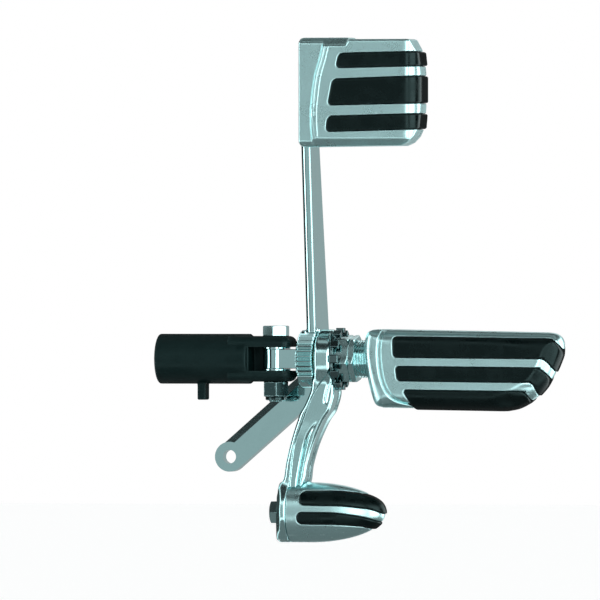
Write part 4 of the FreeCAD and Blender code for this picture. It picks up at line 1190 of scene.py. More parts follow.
@dataclass(frozen=True)
class Spindle:
    """The eye spindle, its bush, washer and nuts, and the threaded neck of the large peg."""

    nut_flats: float = 26.3
    nut_turn: float = 19.4
    nut_bore: float = 8.1
    thread_pitch: float = 1.6
    thread_depth: float = 0.75
    thread_end: float = 0.8
    bore_share: float = 0.705
    turns_around: int = 96
    rows_per_thread: int = 12
    spindle_edge: float = 0.35
    bush_edge: float = 0.2
    washer_edge: float = 0.45
    step: float = 0.34

    def build(self, shop: Workshop) -> None:
        """Dress the spindle's pieces.

        Args:
            shop: the workshop that places the pieces.
        """
        shop.soften("eye_spindle", Body.SPINDLE, CHROME, self.spindle_edge)
        shop.soften("lever_bush", Body.SPINDLE, BRONZE, self.bush_edge)
        shop.soften("tab_washer", Body.SPINDLE, TEMPERED, self.washer_edge)
        for nut in ("spindle_nut", "lock_nut"):
            shop.shape(nut, self._nut(nut), self.step, Body.SPINDLE, PLATED, 40000)
        shop.place("peg_collar", self._neck(), Body.SPINDLE, PLATED)

    def _nut(self, node: str) -> Field:
        """A chamfered nut on the spindle's thread.

        Args:
            node: the nut's node.

        Returns:
            Distance to the nut.
        """
        low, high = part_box(node)
        middle, half = (low.x + high.x) / 2 / MM, (high.x - low.x) / 2 / MM

        def shape(x: np.ndarray, y: np.ndarray, z: np.ndarray) -> np.ndarray:
            """Distance to the nut."""
            block = hex_block(-y, z, x - middle, self.nut_flats, half, self.nut_turn)
            return cut(block, np.hypot(y, z) - self.nut_bore, 0.8)

        return shape

    def _neck(self) -> bpy.types.Mesh:
        """The peg's neck with a real thread cut along it.

        Returns:
            The neck's mesh, in metres.
        """
        low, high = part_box("peg_collar")
        start, end = low.x / MM, high.x / MM
        radius = (high.z - low.z) / 2 / MM
        bore = radius * self.bore_share
        rows = int((end - start) / self.thread_pitch * self.rows_per_thread)
        around = np.linspace(0.0, 2 * math.pi, self.turns_around, endpoint=False)
        points = []
        for along in np.linspace(start, end, rows):
            phase = ((along - start) / self.thread_pitch - around / (2 * math.pi)) % 1.0
            groove = np.clip(np.abs(phase - 0.5) * 2.6 - 0.2, 0.0, 1.0)
            plain = float(ramp(np.minimum(along - start, end - along), 0.0, self.thread_end))
            radii = radius - 0.05 - self.thread_depth * (1 - groove) * plain - 0.4 * (1 - plain)
            points += [(along, r * math.cos(a), r * math.sin(a)) for r, a in zip(radii, around)]
        for along in (end, start):
            points += [(along, bore * math.cos(a), bore * math.sin(a)) for a in around]
        count = self.turns_around
        faces = []
        for row in range(rows + 2):
            following = (row + 1) % (rows + 2)
            for spot in range(count):
                beside = (spot + 1) % count
                faces.append((row * count + spot, following * count + spot, following * count + beside,
                              row * count + beside))
        mesh = bpy.data.meshes.new("peg_neck")
        mesh.from_pydata([tuple(v * MM for v in point) for point in points], [], faces)
        mesh.polygons.foreach_set("use_smooth", [True] * len(mesh.polygons))
        mesh.set_sharp_from_angle(angle=math.radians(50))
        return mesh


# The large peg


@dataclass(frozen=True)
class LargePeg:
    """The large peg: a cast body with three rubber strips that wrap round its creased nose."""

    strip_corner: float = 2.2
    step: float = 0.42
    strip_step: float = 0.42
    strip_back: float = 7.6
    facet: float = math.radians(27.0)
    nose_shear: float = 0.32
    shear_start: float = -7.0
    shear_run: Point = (45.0, 15.0)
    edge_radius: float = 5.0
    shoulder: Point = (4.5, 16.0)
    nose_growth: float = 1.5
    nose_run: Point = (52.0, 18.0)
    crease_edge: float = 0.6
    groove_half: Point = (1.0, 0.3)
    groove_depth: float = 1.1
    collar_seat: Point = (11.6, 2.5)
    stud_hole: Point = (8.1, 21.5)
    left_end: tuple[Point, ...] = ((8.5, 0.0), (5.0, -0.35), (2.6, -1.5), (1.0, -4.2), (0.2, -8.5),
                                   (0.0, -13.5), (0.6, -20.5), (1.9, -28.5), (3.7, -36.5), (5.4, -42.5),
                                   (7.2, -45.6), (11.0, -47.0))
    nose: tuple[Point, ...] = ((-37.0, 0.2), (-29.0, 1.6), (-21.5, 4.7), (-14.8, 9.6), (-9.3, 16.1),
                               (-5.2, 23.0), (-2.2, 29.8), (-0.6, 34.5), (0.0, 38.5), (-0.4, 41.4),
                               (-2.0, 44.0), (-5.2, 45.8), (-9.5, 46.5))
    crease: tuple[Point, ...] = ((-52.0, -45.6), (-44.0, -41.6), (-36.2, -38.4), (-28.0, -34.6),
                                 (-20.0, -29.6), (-15.2, -23.2), (-12.6, -17.3), (-7.8, -6.1), (-3.3, -1.8),
                                 (-1.0, 4.0))
    turning: tuple[Point, ...] = ((-36.0, -53.0), (-24.7, -37.2), (-20.6, -32.6), (-17.4, -28.7),
                                  (-15.2, -23.2), (-12.6, -17.3), (-7.8, -6.1), (-3.3, -1.8), (-1.0, 4.0))
    drops: tuple[Point, ...] = ((-60.0, 0.0), (-1.0, 0.0), (0.0, 0.05), (1.5, 0.35), (3.0, 1.0), (5.0, 2.2),
                                (7.5, 4.1), (10.0, 6.5), (12.0, 9.0), (14.0, 12.0), (20.0, 21.0))
    strips: tuple[tuple, ...] = (
        ("peg_tread_upper", (18.2, 4.4, 6.0), (18.6, 16.8, 17.9)),
        ("peg_tread_middle", (20.0, 22.2, 23.5), (21.0, 30.8, 32.4)),
        ("peg_tread_lower", (24.5, 36.3, 37.9), (35.5, 58.0, 58.0)),
    )
    groove: tuple[Point, ...] = ((11.6, 4.0), (11.3, -1.0), (10.2, -8.0), (9.9, -16.0), (11.4, -28.0),
                                 (14.6, -36.5), (19.6, -42.0), (27.0, -44.6), (36.0, -45.4))

    def build(self, shop: Workshop) -> None:
        """Shape the casting and its strips.

        Args:
            shop: the workshop that places the pieces.
        """
        casting = self._casting()
        shop.shape("peg_body", self._with_groove(casting.metal), self.step, Body.SPINDLE, CASTING, 120000)
        for strip in casting.strips:
            shop.shape(strip.name, casting.rubber(strip), self.strip_step, Body.SPINDLE, RUBBER, 30000)

    @staticmethod
    def _ends() -> tuple[float, float, float, float]:
        """Inboard end, outboard end, underside and top of the casting."""
        low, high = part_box("peg_body")
        return low.x / MM, high.x / MM, low.z / MM, high.z / MM

    def _wrap(self) -> Wrap:
        """How the strips turn down round the nose.

        Returns:
            The line of the turn and the drop past it.
        """
        _, end, _, top = self._ends()
        line = smooth_path([(end + x, top + z) for x, z in self.turning])
        return Wrap(line, smooth_path(self.drops))

    def _casting(self) -> RubberFaced:
        """The peg's solid form with the places of its strips.

        Returns:
            The casting with its strips.
        """
        start, end, foot, top = self._ends()
        left = smooth_path([(start + x, top + z) for x, z in self.left_end])
        nose = smooth_path([(end + x, foot + z) for x, z in self.nose])
        outline = Outline(np.vstack([left, nose]))
        low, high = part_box("peg_body")
        half = min(-low.y, high.y) / MM - 0.02
        wrap = self._wrap()
        crease = smooth_path([(end + x, top + z) for x, z in self.crease])
        tilt = math.tan(self.facet)

        def solid(x: np.ndarray, y: np.ndarray, z: np.ndarray) -> np.ndarray:
            """Distance to the casting before its pockets.

            Args:
                x: places outboard, in millimetres.
                y: places forward.
                z: places upward.

            Returns:
                Distances, negative inside.
            """
            growth, run = self.shoulder
            radius = self.edge_radius + growth * ramp(x, start, start + run)
            far, near = self.nose_run
            radius = radius + self.nose_growth * ramp(x, end - far, end - near)
            far, near = self.shear_run
            shear = self.nose_shear * np.maximum(y - self.shear_start, 0.0) * ramp(x, end - far, end - near)
            side = outline.distance(x + shear, z) * 0.97 + radius
            face = np.abs(y) - half + radius
            edge = np.hypot(np.maximum(side, 0.0), np.maximum(face, 0.0))
            shape = np.minimum(np.maximum(side, face), 0.0) + edge - radius
            slant = (past_line(crease, x, z) * tilt - y - half) * math.cos(self.facet)
            shape = soft_max(shape, slant, self.crease_edge)
            across = np.hypot(y, z)
            for hole, deep in (self.collar_seat, self.stud_hole):
                shape = cut(shape, np.maximum(across - hole, x - start - deep), 0.3)
            return shape

        strips = []
        for name, upper, lower in self.strips:
            paths = [np.array([(start + inset, top - drop), (end + 30.0, top - far_drop)])
                     for inset, drop, far_drop in (upper, lower)]
            strips.append(Strip(name, paths[0], paths[1], self.strip_corner, wrap))
        return RubberFaced(solid, tuple(strips), far=self.strip_back)

    def _with_groove(self, metal: Field) -> Field:
        """The casting with the curved groove that sets off its inboard end.

        Args:
            metal: distance to the casting with its pockets.

        Returns:
            Distance to the grooved casting.
        """
        start, _, _, top = self._ends()
        path = smooth_path([(start + x, top + z) for x, z in self.groove])
        ring = Outline(np.vstack([path - self.groove_half, (path + self.groove_half)[::-1]]), pitch=0.3)

        def shape(x: np.ndarray, y: np.ndarray, z: np.ndarray) -> np.ndarray:
            """Distance to the grooved casting.

            Args:
                x: places outboard, in millimetres.
                y: places forward.
                z: places upward.

            Returns:
                Distances, negative inside.
            """
            skin = metal(x, y, z)
            groove = np.maximum(ring.distance(x, z), -(skin + self.groove_depth))
            return cut(skin, groove, self.groove_depth)

        return shape


# The pedal


@dataclass(frozen=True)
class PedalPad:
    """The pedal's pad: a hollow casting with a bead and three rubber strips."""

    end_radius: float = 10.5
    bevel: float = 5.4
    slim_bevel: float = 1.9
    flank: float = 30.8
    wall: float = 4.6
    step_down: float = 2.0
    step_run: Point = (-4.2, -2.4)
    ridge_height: float = 0.95
    ridge_width: float = 0.6
    ridge_gap: Point = (0.4, 1.8)
    ridge_spread: Point = (4.0, 34.0)
    ridge_fade: Point = (2.0, 9.0)
    corner: float = 2.7
    step: float = 0.42
    strip_step: float = 0.4
    boss: Point = (5.2, 4.8)
    screw_hole: float = 2.5
    screw_head: float = 4.4
    plate_edge: float = 0.3
    screw_edge: float = 0.2
    short: float = 1.6
    bead: tuple[Point, ...] = ((20.5, 1.04), (16.9, 0.81), (13.8, 0.64), (11.9, 0.43), (11.3, 0.30),
                               (11.8, 0.13), (13.0, -0.03))
    strips: tuple[tuple, ...] = (
        ("pad_tread_upper", (25.4, 0.856, 0.873), (23.4, 0.723, 0.741)),
        ("pad_tread_middle", (21.6, 0.621, 0.652), (18.5, 0.383, 0.402)),
        ("pad_tread_lower", (18.5, 0.282, 0.307), (17.3, 0.141, 0.166)),
    )

    def build(self, shop: Workshop) -> None:
        """Shape the cover and its strips, and dress the plate and screws.

        Args:
            shop: the workshop that places the pieces.
        """
        casting = self._casting()
        shop.shape("pad_cover", self._hollow(casting), self.step, Body.PEDAL, CASTING, 120000)
        for strip in casting.strips:
            shop.shape(strip.name, casting.rubber(strip), self.strip_step, Body.PEDAL, RUBBER, 30000)
        shop.soften("pad_plate", Body.PEDAL, BLACKENED, self.plate_edge)
        shop.soften("pad_screws", Body.PEDAL, PLATED, self.screw_edge)

    def _sizes(self) -> tuple[Vector, Vector]:
        """Lowest and highest corner of the cover in millimetres, without the bead."""
        low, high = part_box("pad_cover")
        return low / MM + Vector((0, 1, 0)), high / MM - Vector((self.short, 0, 0))

    def _elevation(self, low: Vector, high: Vector) -> Outline:
        """The cover seen from the rear.

        Args:
            low: lowest corner of the cover.
            high: highest corner.

        Returns:
            The outline across and up.
        """
        right = high.x + 0.9
        points = [
            (low.x, low.z + 2.4), (low.x + 0.8, low.z + 0.7), (low.x + 2.6, low.z),
            (right - 12.5, low.z + 0.7), (right - 8.2, low.z + 2.6), (right - 4.6, low.z + 6.4),
            (right - 2.2, low.z + 11.5), (right - 1.0, low.z + 24.0), (right - 1.0, high.z - 22.0),
            (right - 2.4, high.z - 9.8), (right - 6.8, high.z - 1.6), (right - 8.4, high.z - 1.0),
            (low.x + self.flank, high.z - 1.0), (low.x + self.flank - 0.8, high.z),
            (low.x + 2.2, high.z), (low.x + 0.6, high.z - 0.7), (low.x, high.z - 2.4),
        ]
        return Outline(points, pitch=0.35)

    def _face(self, low: Vector, high: Vector) -> Callable[[np.ndarray, np.ndarray], np.ndarray]:
        """How far the rear face stands in from the bead's top, over the pad.

        Args:
            low: lowest corner of the cover.
            high: highest corner.

        Returns:
            A function of the places across and up.
        """
        height = high.z - low.z
        path = smooth_path([(low.x + x, low.z + height * level) for x, level in self.bead])[::-1]

        def inset(x: np.ndarray, z: np.ndarray) -> np.ndarray:
            """Depth of the face below the bead's top.

            Args:
                x: places outboard, in millimetres.
                z: places upward.

            Returns:
                Depths in millimetres.
            """
            side = (x - np.interp(z, path[:, 1], path[:, 0])) * 0.96
            step = self.step_down * (1 - ramp(side, *self.step_run))
            fade = ramp(z - low.z, *self.ridge_fade)
            least, more = self.ridge_gap
            apart = least + more * ramp(z - low.z, *self.ridge_spread)
            ridges = [np.exp(-((side + 0.2 + gap) / self.ridge_width) ** 2) for gap in (0.0, apart)]
            return step - self.ridge_height * np.maximum(*ridges) * fade

        return inset

    def _form(self, with_back: bool) -> Field:
        """The cover's outside, open or closed at its mouth.

        Args:
            with_back: whether the mouth is closed.

        Returns:
            Distance to the form.
        """
        low, high = self._sizes()
        elevation = self._elevation(low, high)
        inset = self._face(low, high)

        def shape(x: np.ndarray, y: np.ndarray, z: np.ndarray) -> np.ndarray:
            """Distance to the cover's form.

            Args:
                x: places outboard, in millimetres.
                y: places forward.
                z: places upward.

            Returns:
                Distances, negative inside.
            """
            face = low.y - y
            cushion = face + inset(x, z)
            plan = round_max(x - high.x, face, self.end_radius)
            plan = soft_max(plan, cushion, 0.8)
            slant = math.sqrt(0.5)
            flank = low.x + self.flank
            bevel = self.bevel + (self.slim_bevel - self.bevel) * ramp(x, flank - 1.5, flank + 1.5)
            top = (face + z - high.z + bevel * 0.92) * slant
            foot = (face + low.z - z + self.bevel) * slant
            outside = soft_max(elevation.distance(x, z), np.maximum(top, foot), 1.2)
            outside = soft_max(outside, plan, 1.2)
            return np.maximum(outside, y - high.y) if with_back else outside

        return shape

    def _casting(self) -> RubberFaced:
        """The cover's form with the places of its strips.

        Returns:
            The cover with its strips.
        """
        low, high = self._sizes()
        height = high.z - low.z
        strips = []
        for name, upper, lower in self.strips:
            paths = [np.array([(low.x + inset, low.z + height * near), (high.x + 8, low.z + height * far)])
                     for inset, near, far in (upper, lower)]
            strips.append(Strip(name, paths[0], paths[1], self.corner))
        return RubberFaced(self._form(True), tuple(strips), far=high.y + 5.0)

    def _hollow(self, casting: RubberFaced) -> Field:
        """The casting with its inside taken out and two screw bosses.

        Args:
            casting: the cover's form with its pockets.

        Returns:
            Distance to the hollow cover.
        """
        low, high = self._sizes()
        inner = self._form(False)
        screws_low, screws_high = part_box("pad_screws")
        level = (screws_low.z + screws_high.z) / 2 / MM
        places = (screws_low.x / MM + self.screw_head, screws_high.x / MM - self.screw_head)
        radius, height = self.boss

        def shape(x: np.ndarray, y: np.ndarray, z: np.ndarray) -> np.ndarray:
            """Distance to the hollow cover.

            Args:
                x: places outboard, in millimetres.
                y: places forward.
                z: places upward.

            Returns:
                Distances, negative inside.
            """
            metal = casting.metal(x, y, z)
            room = inner(x, y, z) + self.wall
            for place in places:
                across = np.hypot(x - place, z - level)
                boss = np.maximum(across - radius, y - high.y + height)
                room = cut(room, boss, 0.8)
            metal = cut(metal, room, 0.6)
            for place in places:
                across = np.hypot(x - place, z - level)
                floor = low.y + self.wall + 1.0
                metal = cut(metal, np.maximum(across - self.screw_hole, floor - y), 0.2)
            return metal

        return shape


@dataclass(frozen=True)
class PedalLever:
    """The chromed lever with its splined hub and crowned edges, and the tail bar."""

    teeth: int = 32
    tooth_depth: float = 1.8
    plate_thickness: float = 6.0
    plate_start: float = 4.0
    hub_edge: float = 1.3
    hub_fillet: float = 2.2
    clearance: float = 0.12
    tooth_inset: float = 0.35
    tooth_slope: float = 0.86
    tooth_fade: float = 1.2
    crown: float = 3.4
    arris: float = 0.8
    foot_level: float = -10.6
    bore: float = 12.05
    step: float = 0.42
    tail_edge: float = 0.9
    plate: tuple[Point, ...] = ((-6.5, 10.0), (-20.2, 127.0), (-20.2, 176.0), (3.8, 176.0), (3.8, 127.0),
                                (26.5, 17.4), (26.5, -10.0), (9.5, -10.0))

    def build(self, shop: Workshop) -> None:
        """Shape the lever and dress the tail bar."""
        shop.shape("pedal_lever", self._forging(), self.step, Body.PEDAL, FORGED, 95000)
        shop.soften("tail_bar", Body.PEDAL, CHROME, self.tail_edge)

    def _forging(self) -> Field:
        """Hub and plate as one forging.

        Returns:
            Distance to the forging.
        """
        low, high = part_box("pedal_lever")
        start, end = low.x / MM + self.clearance, high.x / MM
        radius = -low.z / MM - self.tooth_inset
        middle = start + self.plate_start + self.plate_thickness / 2
        outline = Outline(self.plate)

        def shape(x: np.ndarray, y: np.ndarray, z: np.ndarray) -> np.ndarray:
            """Distance to the hub and plate.

            Args:
                x: places outboard, in millimetres.
                y: places forward.
                z: places upward.

            Returns:
                Distances, negative inside.
            """
            turn = np.hypot(y, z)
            angle = np.arctan2(z, -y)
            wave = np.abs(np.mod(angle * self.teeth / (2 * math.pi), 1.0) * 2.0 - 1.0)
            plain = ramp(z, self.foot_level, self.foot_level + self.tooth_fade)
            notch = self.tooth_depth * wave * plain
            ends = np.maximum(start - x, x - end)
            hub = round_max((turn - radius + notch) * self.tooth_slope, ends, self.hub_edge)
            edge = outline.distance(y, z)
            plate = round_max(edge, middle - x - self.plate_thickness / 2, self.crown)
            plate = round_max(plate, x - middle - self.plate_thickness / 2, self.arris)
            whole = soft_min(hub, plate, self.hub_fillet)
            return cut(whole, turn - self.bore, 0.4)

        return shape


# The small peg and its arm


@dataclass(frozen=True)
class SmallPeg:
    """The small peg: a cast bullet with two rubber strips."""

    barrel: float = 12.0
    corner: float = 3.2
    strip_back: float = 6.2
    hole: Point = (4.1, 19.0)
    screw_edge: float = 0.3
    step: float = 0.38
    strip_step: float = 0.36
    strips: tuple[tuple, ...] = (
        ("toe_tread_upper",
         ((0.145, 0.71), (0.40, 0.725), (0.56, 0.722), (0.75, 0.65), (0.89, 0.53), (1.06, 0.25)),
         ((0.145, 0.26), (0.40, 0.245), (0.59, 0.233), (0.785, 0.16), (0.89, 0.10), (1.06, -0.13))),
        ("toe_tread_lower",
         ((0.12, 0.005), (0.30, 0.0), (0.50, -0.01), (0.665, -0.075), (0.82, -0.167), (1.06, -0.42)),
         ((0.12, -0.385), (0.30, -0.39), (0.50, -0.40), (0.70, -0.44), (0.82, -0.50), (1.06, -0.78))),
    )

    def solid(self) -> Field:
        """The bullet form.

        Returns:
            Distance to the form.
        """
        low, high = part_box("toe_peg_body")
        middle = (low + high) / 2 / MM
        half_depth = (high.y - low.y) / 2 / MM
        half_height = (high.z - low.z) / 2 / MM
        shoulder = low.x / MM + self.barrel
        reach = high.x / MM - shoulder

        def shape(x: np.ndarray, y: np.ndarray, z: np.ndarray) -> np.ndarray:
            """Distance to the bullet.

            Args:
                x: places outboard, in millimetres.
                y: places forward.
                z: places upward.

            Returns:
                Distances, negative inside.
            """
            along = np.maximum(x - shoulder, 0.0)
            level = z - middle.z
            near = np.sqrt((along / reach) ** 2 + (y / half_depth) ** 2 + (level / half_height) ** 2)
            slope = np.sqrt((along / reach ** 2) ** 2 + (y / half_depth ** 2) ** 2
                            + (level / half_height ** 2) ** 2)
            bullet = near * (near - 1.0) / np.maximum(slope, 0.02)
            return round_max(bullet, low.x / MM - x, 0.6)

        return shape

    def build(self, shop: Workshop) -> None:
        """Shape the casting and its strips, and dress the screw.

        Args:
            shop: the workshop that places the pieces.
        """
        low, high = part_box("toe_peg_body")
        start, length = low.x / MM, (high.x - low.x) / MM
        axis, half = (low.z + high.z) / 2 / MM, (high.z - low.z) / 2 / MM
        strips = []
        for name, upper, lower in self.strips:
            paths = [smooth_path([(start + length * along, axis + half * level) for along, level in edge])
                     for edge in (upper, lower)]
            strips.append(Strip(name, paths[0], paths[1], self.corner))
        casting = RubberFaced(self.solid(), tuple(strips), far=self.strip_back)
        radius, deep = self.hole

        def metal(x: np.ndarray, y: np.ndarray, z: np.ndarray) -> np.ndarray:
            """Distance to the casting with its pockets and screw hole."""
            hole = np.maximum(np.hypot(y, z - axis) - radius, x - start - deep)
            return cut(casting.metal(x, y, z), hole, 0.2)

        shop.shape("toe_peg_body", metal, self.step, Body.TOE, CASTING, 80000)
        for strip in strips:
            shop.shape(strip.name, casting.rubber(strip), self.strip_step, Body.TOE, RUBBER, 24000)
        shop.soften("toe_peg_screw", Body.TOE, PLATED, self.screw_edge)


@dataclass(frozen=True)
class ToeArm:
    """The curved arm: boss, sculpted stem and the foot that holds the small peg."""

    boss_radius: float = 17.7
    rim: float = 2.4
    foot_sweep: float = 3.2
    foot_edge: float = 1.5
    corner_share: float = 0.17
    boss_fillet: float = 5.0
    foot_fillet: float = 4.0
    bore: float = 9.6
    hub_room: float = 18.1
    washer_room: float = 19.3
    screw_hole: float = 4.15
    screw_seat: float = 9.1
    clearance: float = 0.15
    ridge_step: float = 0.9
    ridge_ends: tuple[Point, Point] = ((6.0, -6.0), (-112.0, -106.0))
    trough_form: Point = (0.7, 1.1)
    trough_ends: tuple[Point, Point] = ((2.0, -6.0), (-29.0, -24.0))
    flute_form: Point = (2.0, 0.9)
    flute_ends: tuple[Point, Point] = ((-36.0, -58.0), (-80.0, -75.0))
    carved: Point = (4.0, -2.0)
    step: float = 0.42
    ridge: tuple[Point, ...] = ((113.0, 12.0), (111.2, 2.5), (109.3, -3.8), (106.0, -10.0), (101.7, -14.8),
                                (96.7, -22.6), (93.4, -30.0), (90.4, -37.5), (86.4, -47.0), (83.9, -56.4),
                                (82.4, -71.0), (81.6, -92.0), (81.6, -112.0))
    trough: tuple[Point, ...] = ((112.0, -3.0), (109.4, -11.0), (106.8, -19.0), (105.4, -26.0))
    flute: tuple[Point, ...] = ((99.5, -38.0), (94.2, -46.0), (90.9, -56.4), (88.2, -71.0), (87.6, -80.0))
    stem: tuple[tuple[float, ...], ...] = (
        (104.4, 0.0, 3.5, 8.5, 19.0), (104.0, -13.0, 3.5, 13.6, 19.4), (103.8, -20.0, 3.5, 15.4, 19.4),
        (100.8, -28.5, 3.1, 16.0, 19.0), (96.2, -36.8, 2.4, 15.2, 18.3), (90.8, -49.7, 1.0, 14.3, 17.0),
        (87.0, -62.6, 0.0, 13.8, 17.0), (85.4, -72.7, 0.0, 13.4, 18.7), (82.0, -80.0, 0.0, 10.6, 20.5),
        (79.2, -86.0, 0.0, 7.6, 22.0), (78.1, -95.0, 0.0, 6.8, 22.0), (78.1, -108.0, 0.0, 6.6, 19.0),
    )

    def build(self, shop: Workshop) -> None:
        """Shape the arm."""
        shop.shape("toe_arm", self._shape(), self.step, Body.TOE, POLISHED, 95000)

    def _stem(self) -> Field:
        """The stem as a run of rounded sections.

        Returns:
            Distance to the stem.
        """
        table = smooth_path(self.stem)[::-1]
        level = table[:, 1]
        lean = np.gradient(table[:, 0], level)

        def stem(x: np.ndarray, y: np.ndarray, z: np.ndarray) -> np.ndarray:
            """Distance to the stem.

            Args:
                x: places outboard, in millimetres.
                y: places forward.
                z: places upward.

            Returns:
                Distances, negative inside.
            """
            middle, back, width, depth = (np.interp(z, level, table[:, column]) for column in (0, 2, 3, 4))
            slope = np.interp(z, level, lean)
            across = (x - middle) / np.sqrt(1.0 + slope * slope)
            through = y + back
            radius = np.minimum(width, depth) * self.corner_share
            a = np.abs(across) - width / 2 + radius
            b = np.abs(through) - depth / 2 + radius
            outside = np.hypot(np.maximum(a, 0.0), np.maximum(b, 0.0))
            solid = np.minimum(np.maximum(a, b), 0.0) + outside - radius
            return np.maximum(solid, np.maximum(z - level[-1], level[0] - z))

        return stem

    def _relief(self) -> Field:
        """How deep the rear of the arm is carved beside its ridge.

        Returns:
            A function that gives the depth at each place.
        """
        ridge = smooth_path(self.ridge)[::-1]
        trough = smooth_path(self.trough)[::-1]
        flute = smooth_path(self.flute)[::-1]

        def depth(x: np.ndarray, y: np.ndarray, z: np.ndarray) -> np.ndarray:
            """Depth of the carving.

            Args:
                x: places outboard, in millimetres.
                y: places forward.
                z: places upward.

            Returns:
                Depths in millimetres.
            """
            side = x - np.interp(z, ridge[:, 1], ridge[:, 0])
            total = self.ridge_step * ramp(side, 0.2, 1.1) * between_levels(z, self.ridge_ends)
            for line, (deep, wide), ends in ((trough, self.trough_form, self.trough_ends),
                                             (flute, self.flute_form, self.flute_ends)):
                off = (x - np.interp(z, line[:, 1], line[:, 0])) / wide
                total = total + deep * np.exp(-off * off) * between_levels(z, ends)
            return total * ramp(y, *self.carved)

        return depth

    def _shape(self) -> Field:
        """The whole arm with its carved rear and the room for its neighbours.

        Returns:
            Distance to the arm.
        """
        stem = self._stem()
        relief = self._relief()
        peg = SmallPeg().solid()
        arm_low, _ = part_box("toe_arm")
        peg_low, peg_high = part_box("toe_peg_body")
        _, hub_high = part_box("pedal_lever")
        washer_low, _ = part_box("tab_washer")
        boss_start = hub_high.x / MM + 0.7
        boss_end = washer_low.x / MM - 0.12
        face = peg_low.x / MM
        axis = (peg_low.z + peg_high.z) / 2 / MM
        half_height = (peg_high.z - peg_low.z) / 2 / MM
        half_depth = (peg_high.y - peg_low.y) / 2 / MM
        foot_start = arm_low.x / MM + 0.1

        def shape(x: np.ndarray, y: np.ndarray, z: np.ndarray) -> np.ndarray:
            """Distance to the arm.

            Args:
                x: places outboard, in millimetres.
                y: places forward.
                z: places upward.

            Returns:
                Distances, negative inside.
            """
            solid = stem(x, y, z)
            turn = np.hypot(y, z)
            boss = round_max(turn - self.boss_radius, np.maximum(boss_start - x, x - boss_end), self.rim)
            level = z - axis
            ring = np.sqrt((y / half_depth) ** 2 + (level / half_height) ** 2)
            foot = (ring - 1.0) * 0.5 * (half_depth + half_height)
            swept = foot_start + self.foot_sweep * ramp(y, 1.0, -14.0)
            foot = round_max(foot, np.maximum(swept - x, x - face + 0.1), self.foot_edge)
            shape = soft_min(boss, solid, self.boss_fillet)
            shape = np.maximum(soft_min(shape, foot, self.foot_fillet), arm_low.z / MM - z)
            shape = shape + relief(x, y, z)
            shape = cut(shape, turn - self.bore, 0.6)
            shape = cut(shape, np.maximum(turn - self.hub_room, x - boss_start), 0.5)
            shape = cut(shape, np.maximum(turn - self.washer_room, boss_end - x), 0.5)
            shape = cut(shape, np.hypot(y, level) - self.screw_hole, 0.3)
            shape = cut(shape, np.maximum(np.hypot(y, level) - self.screw_seat, x - foot_start), 0.3)
            shape = cut(shape, np.maximum(face + self.clearance - x, z - axis - half_height + 3.0), 0.3)
            return cut(shape, peg(x, y, z) - self.clearance, 0.4)

        return shape


# The studio


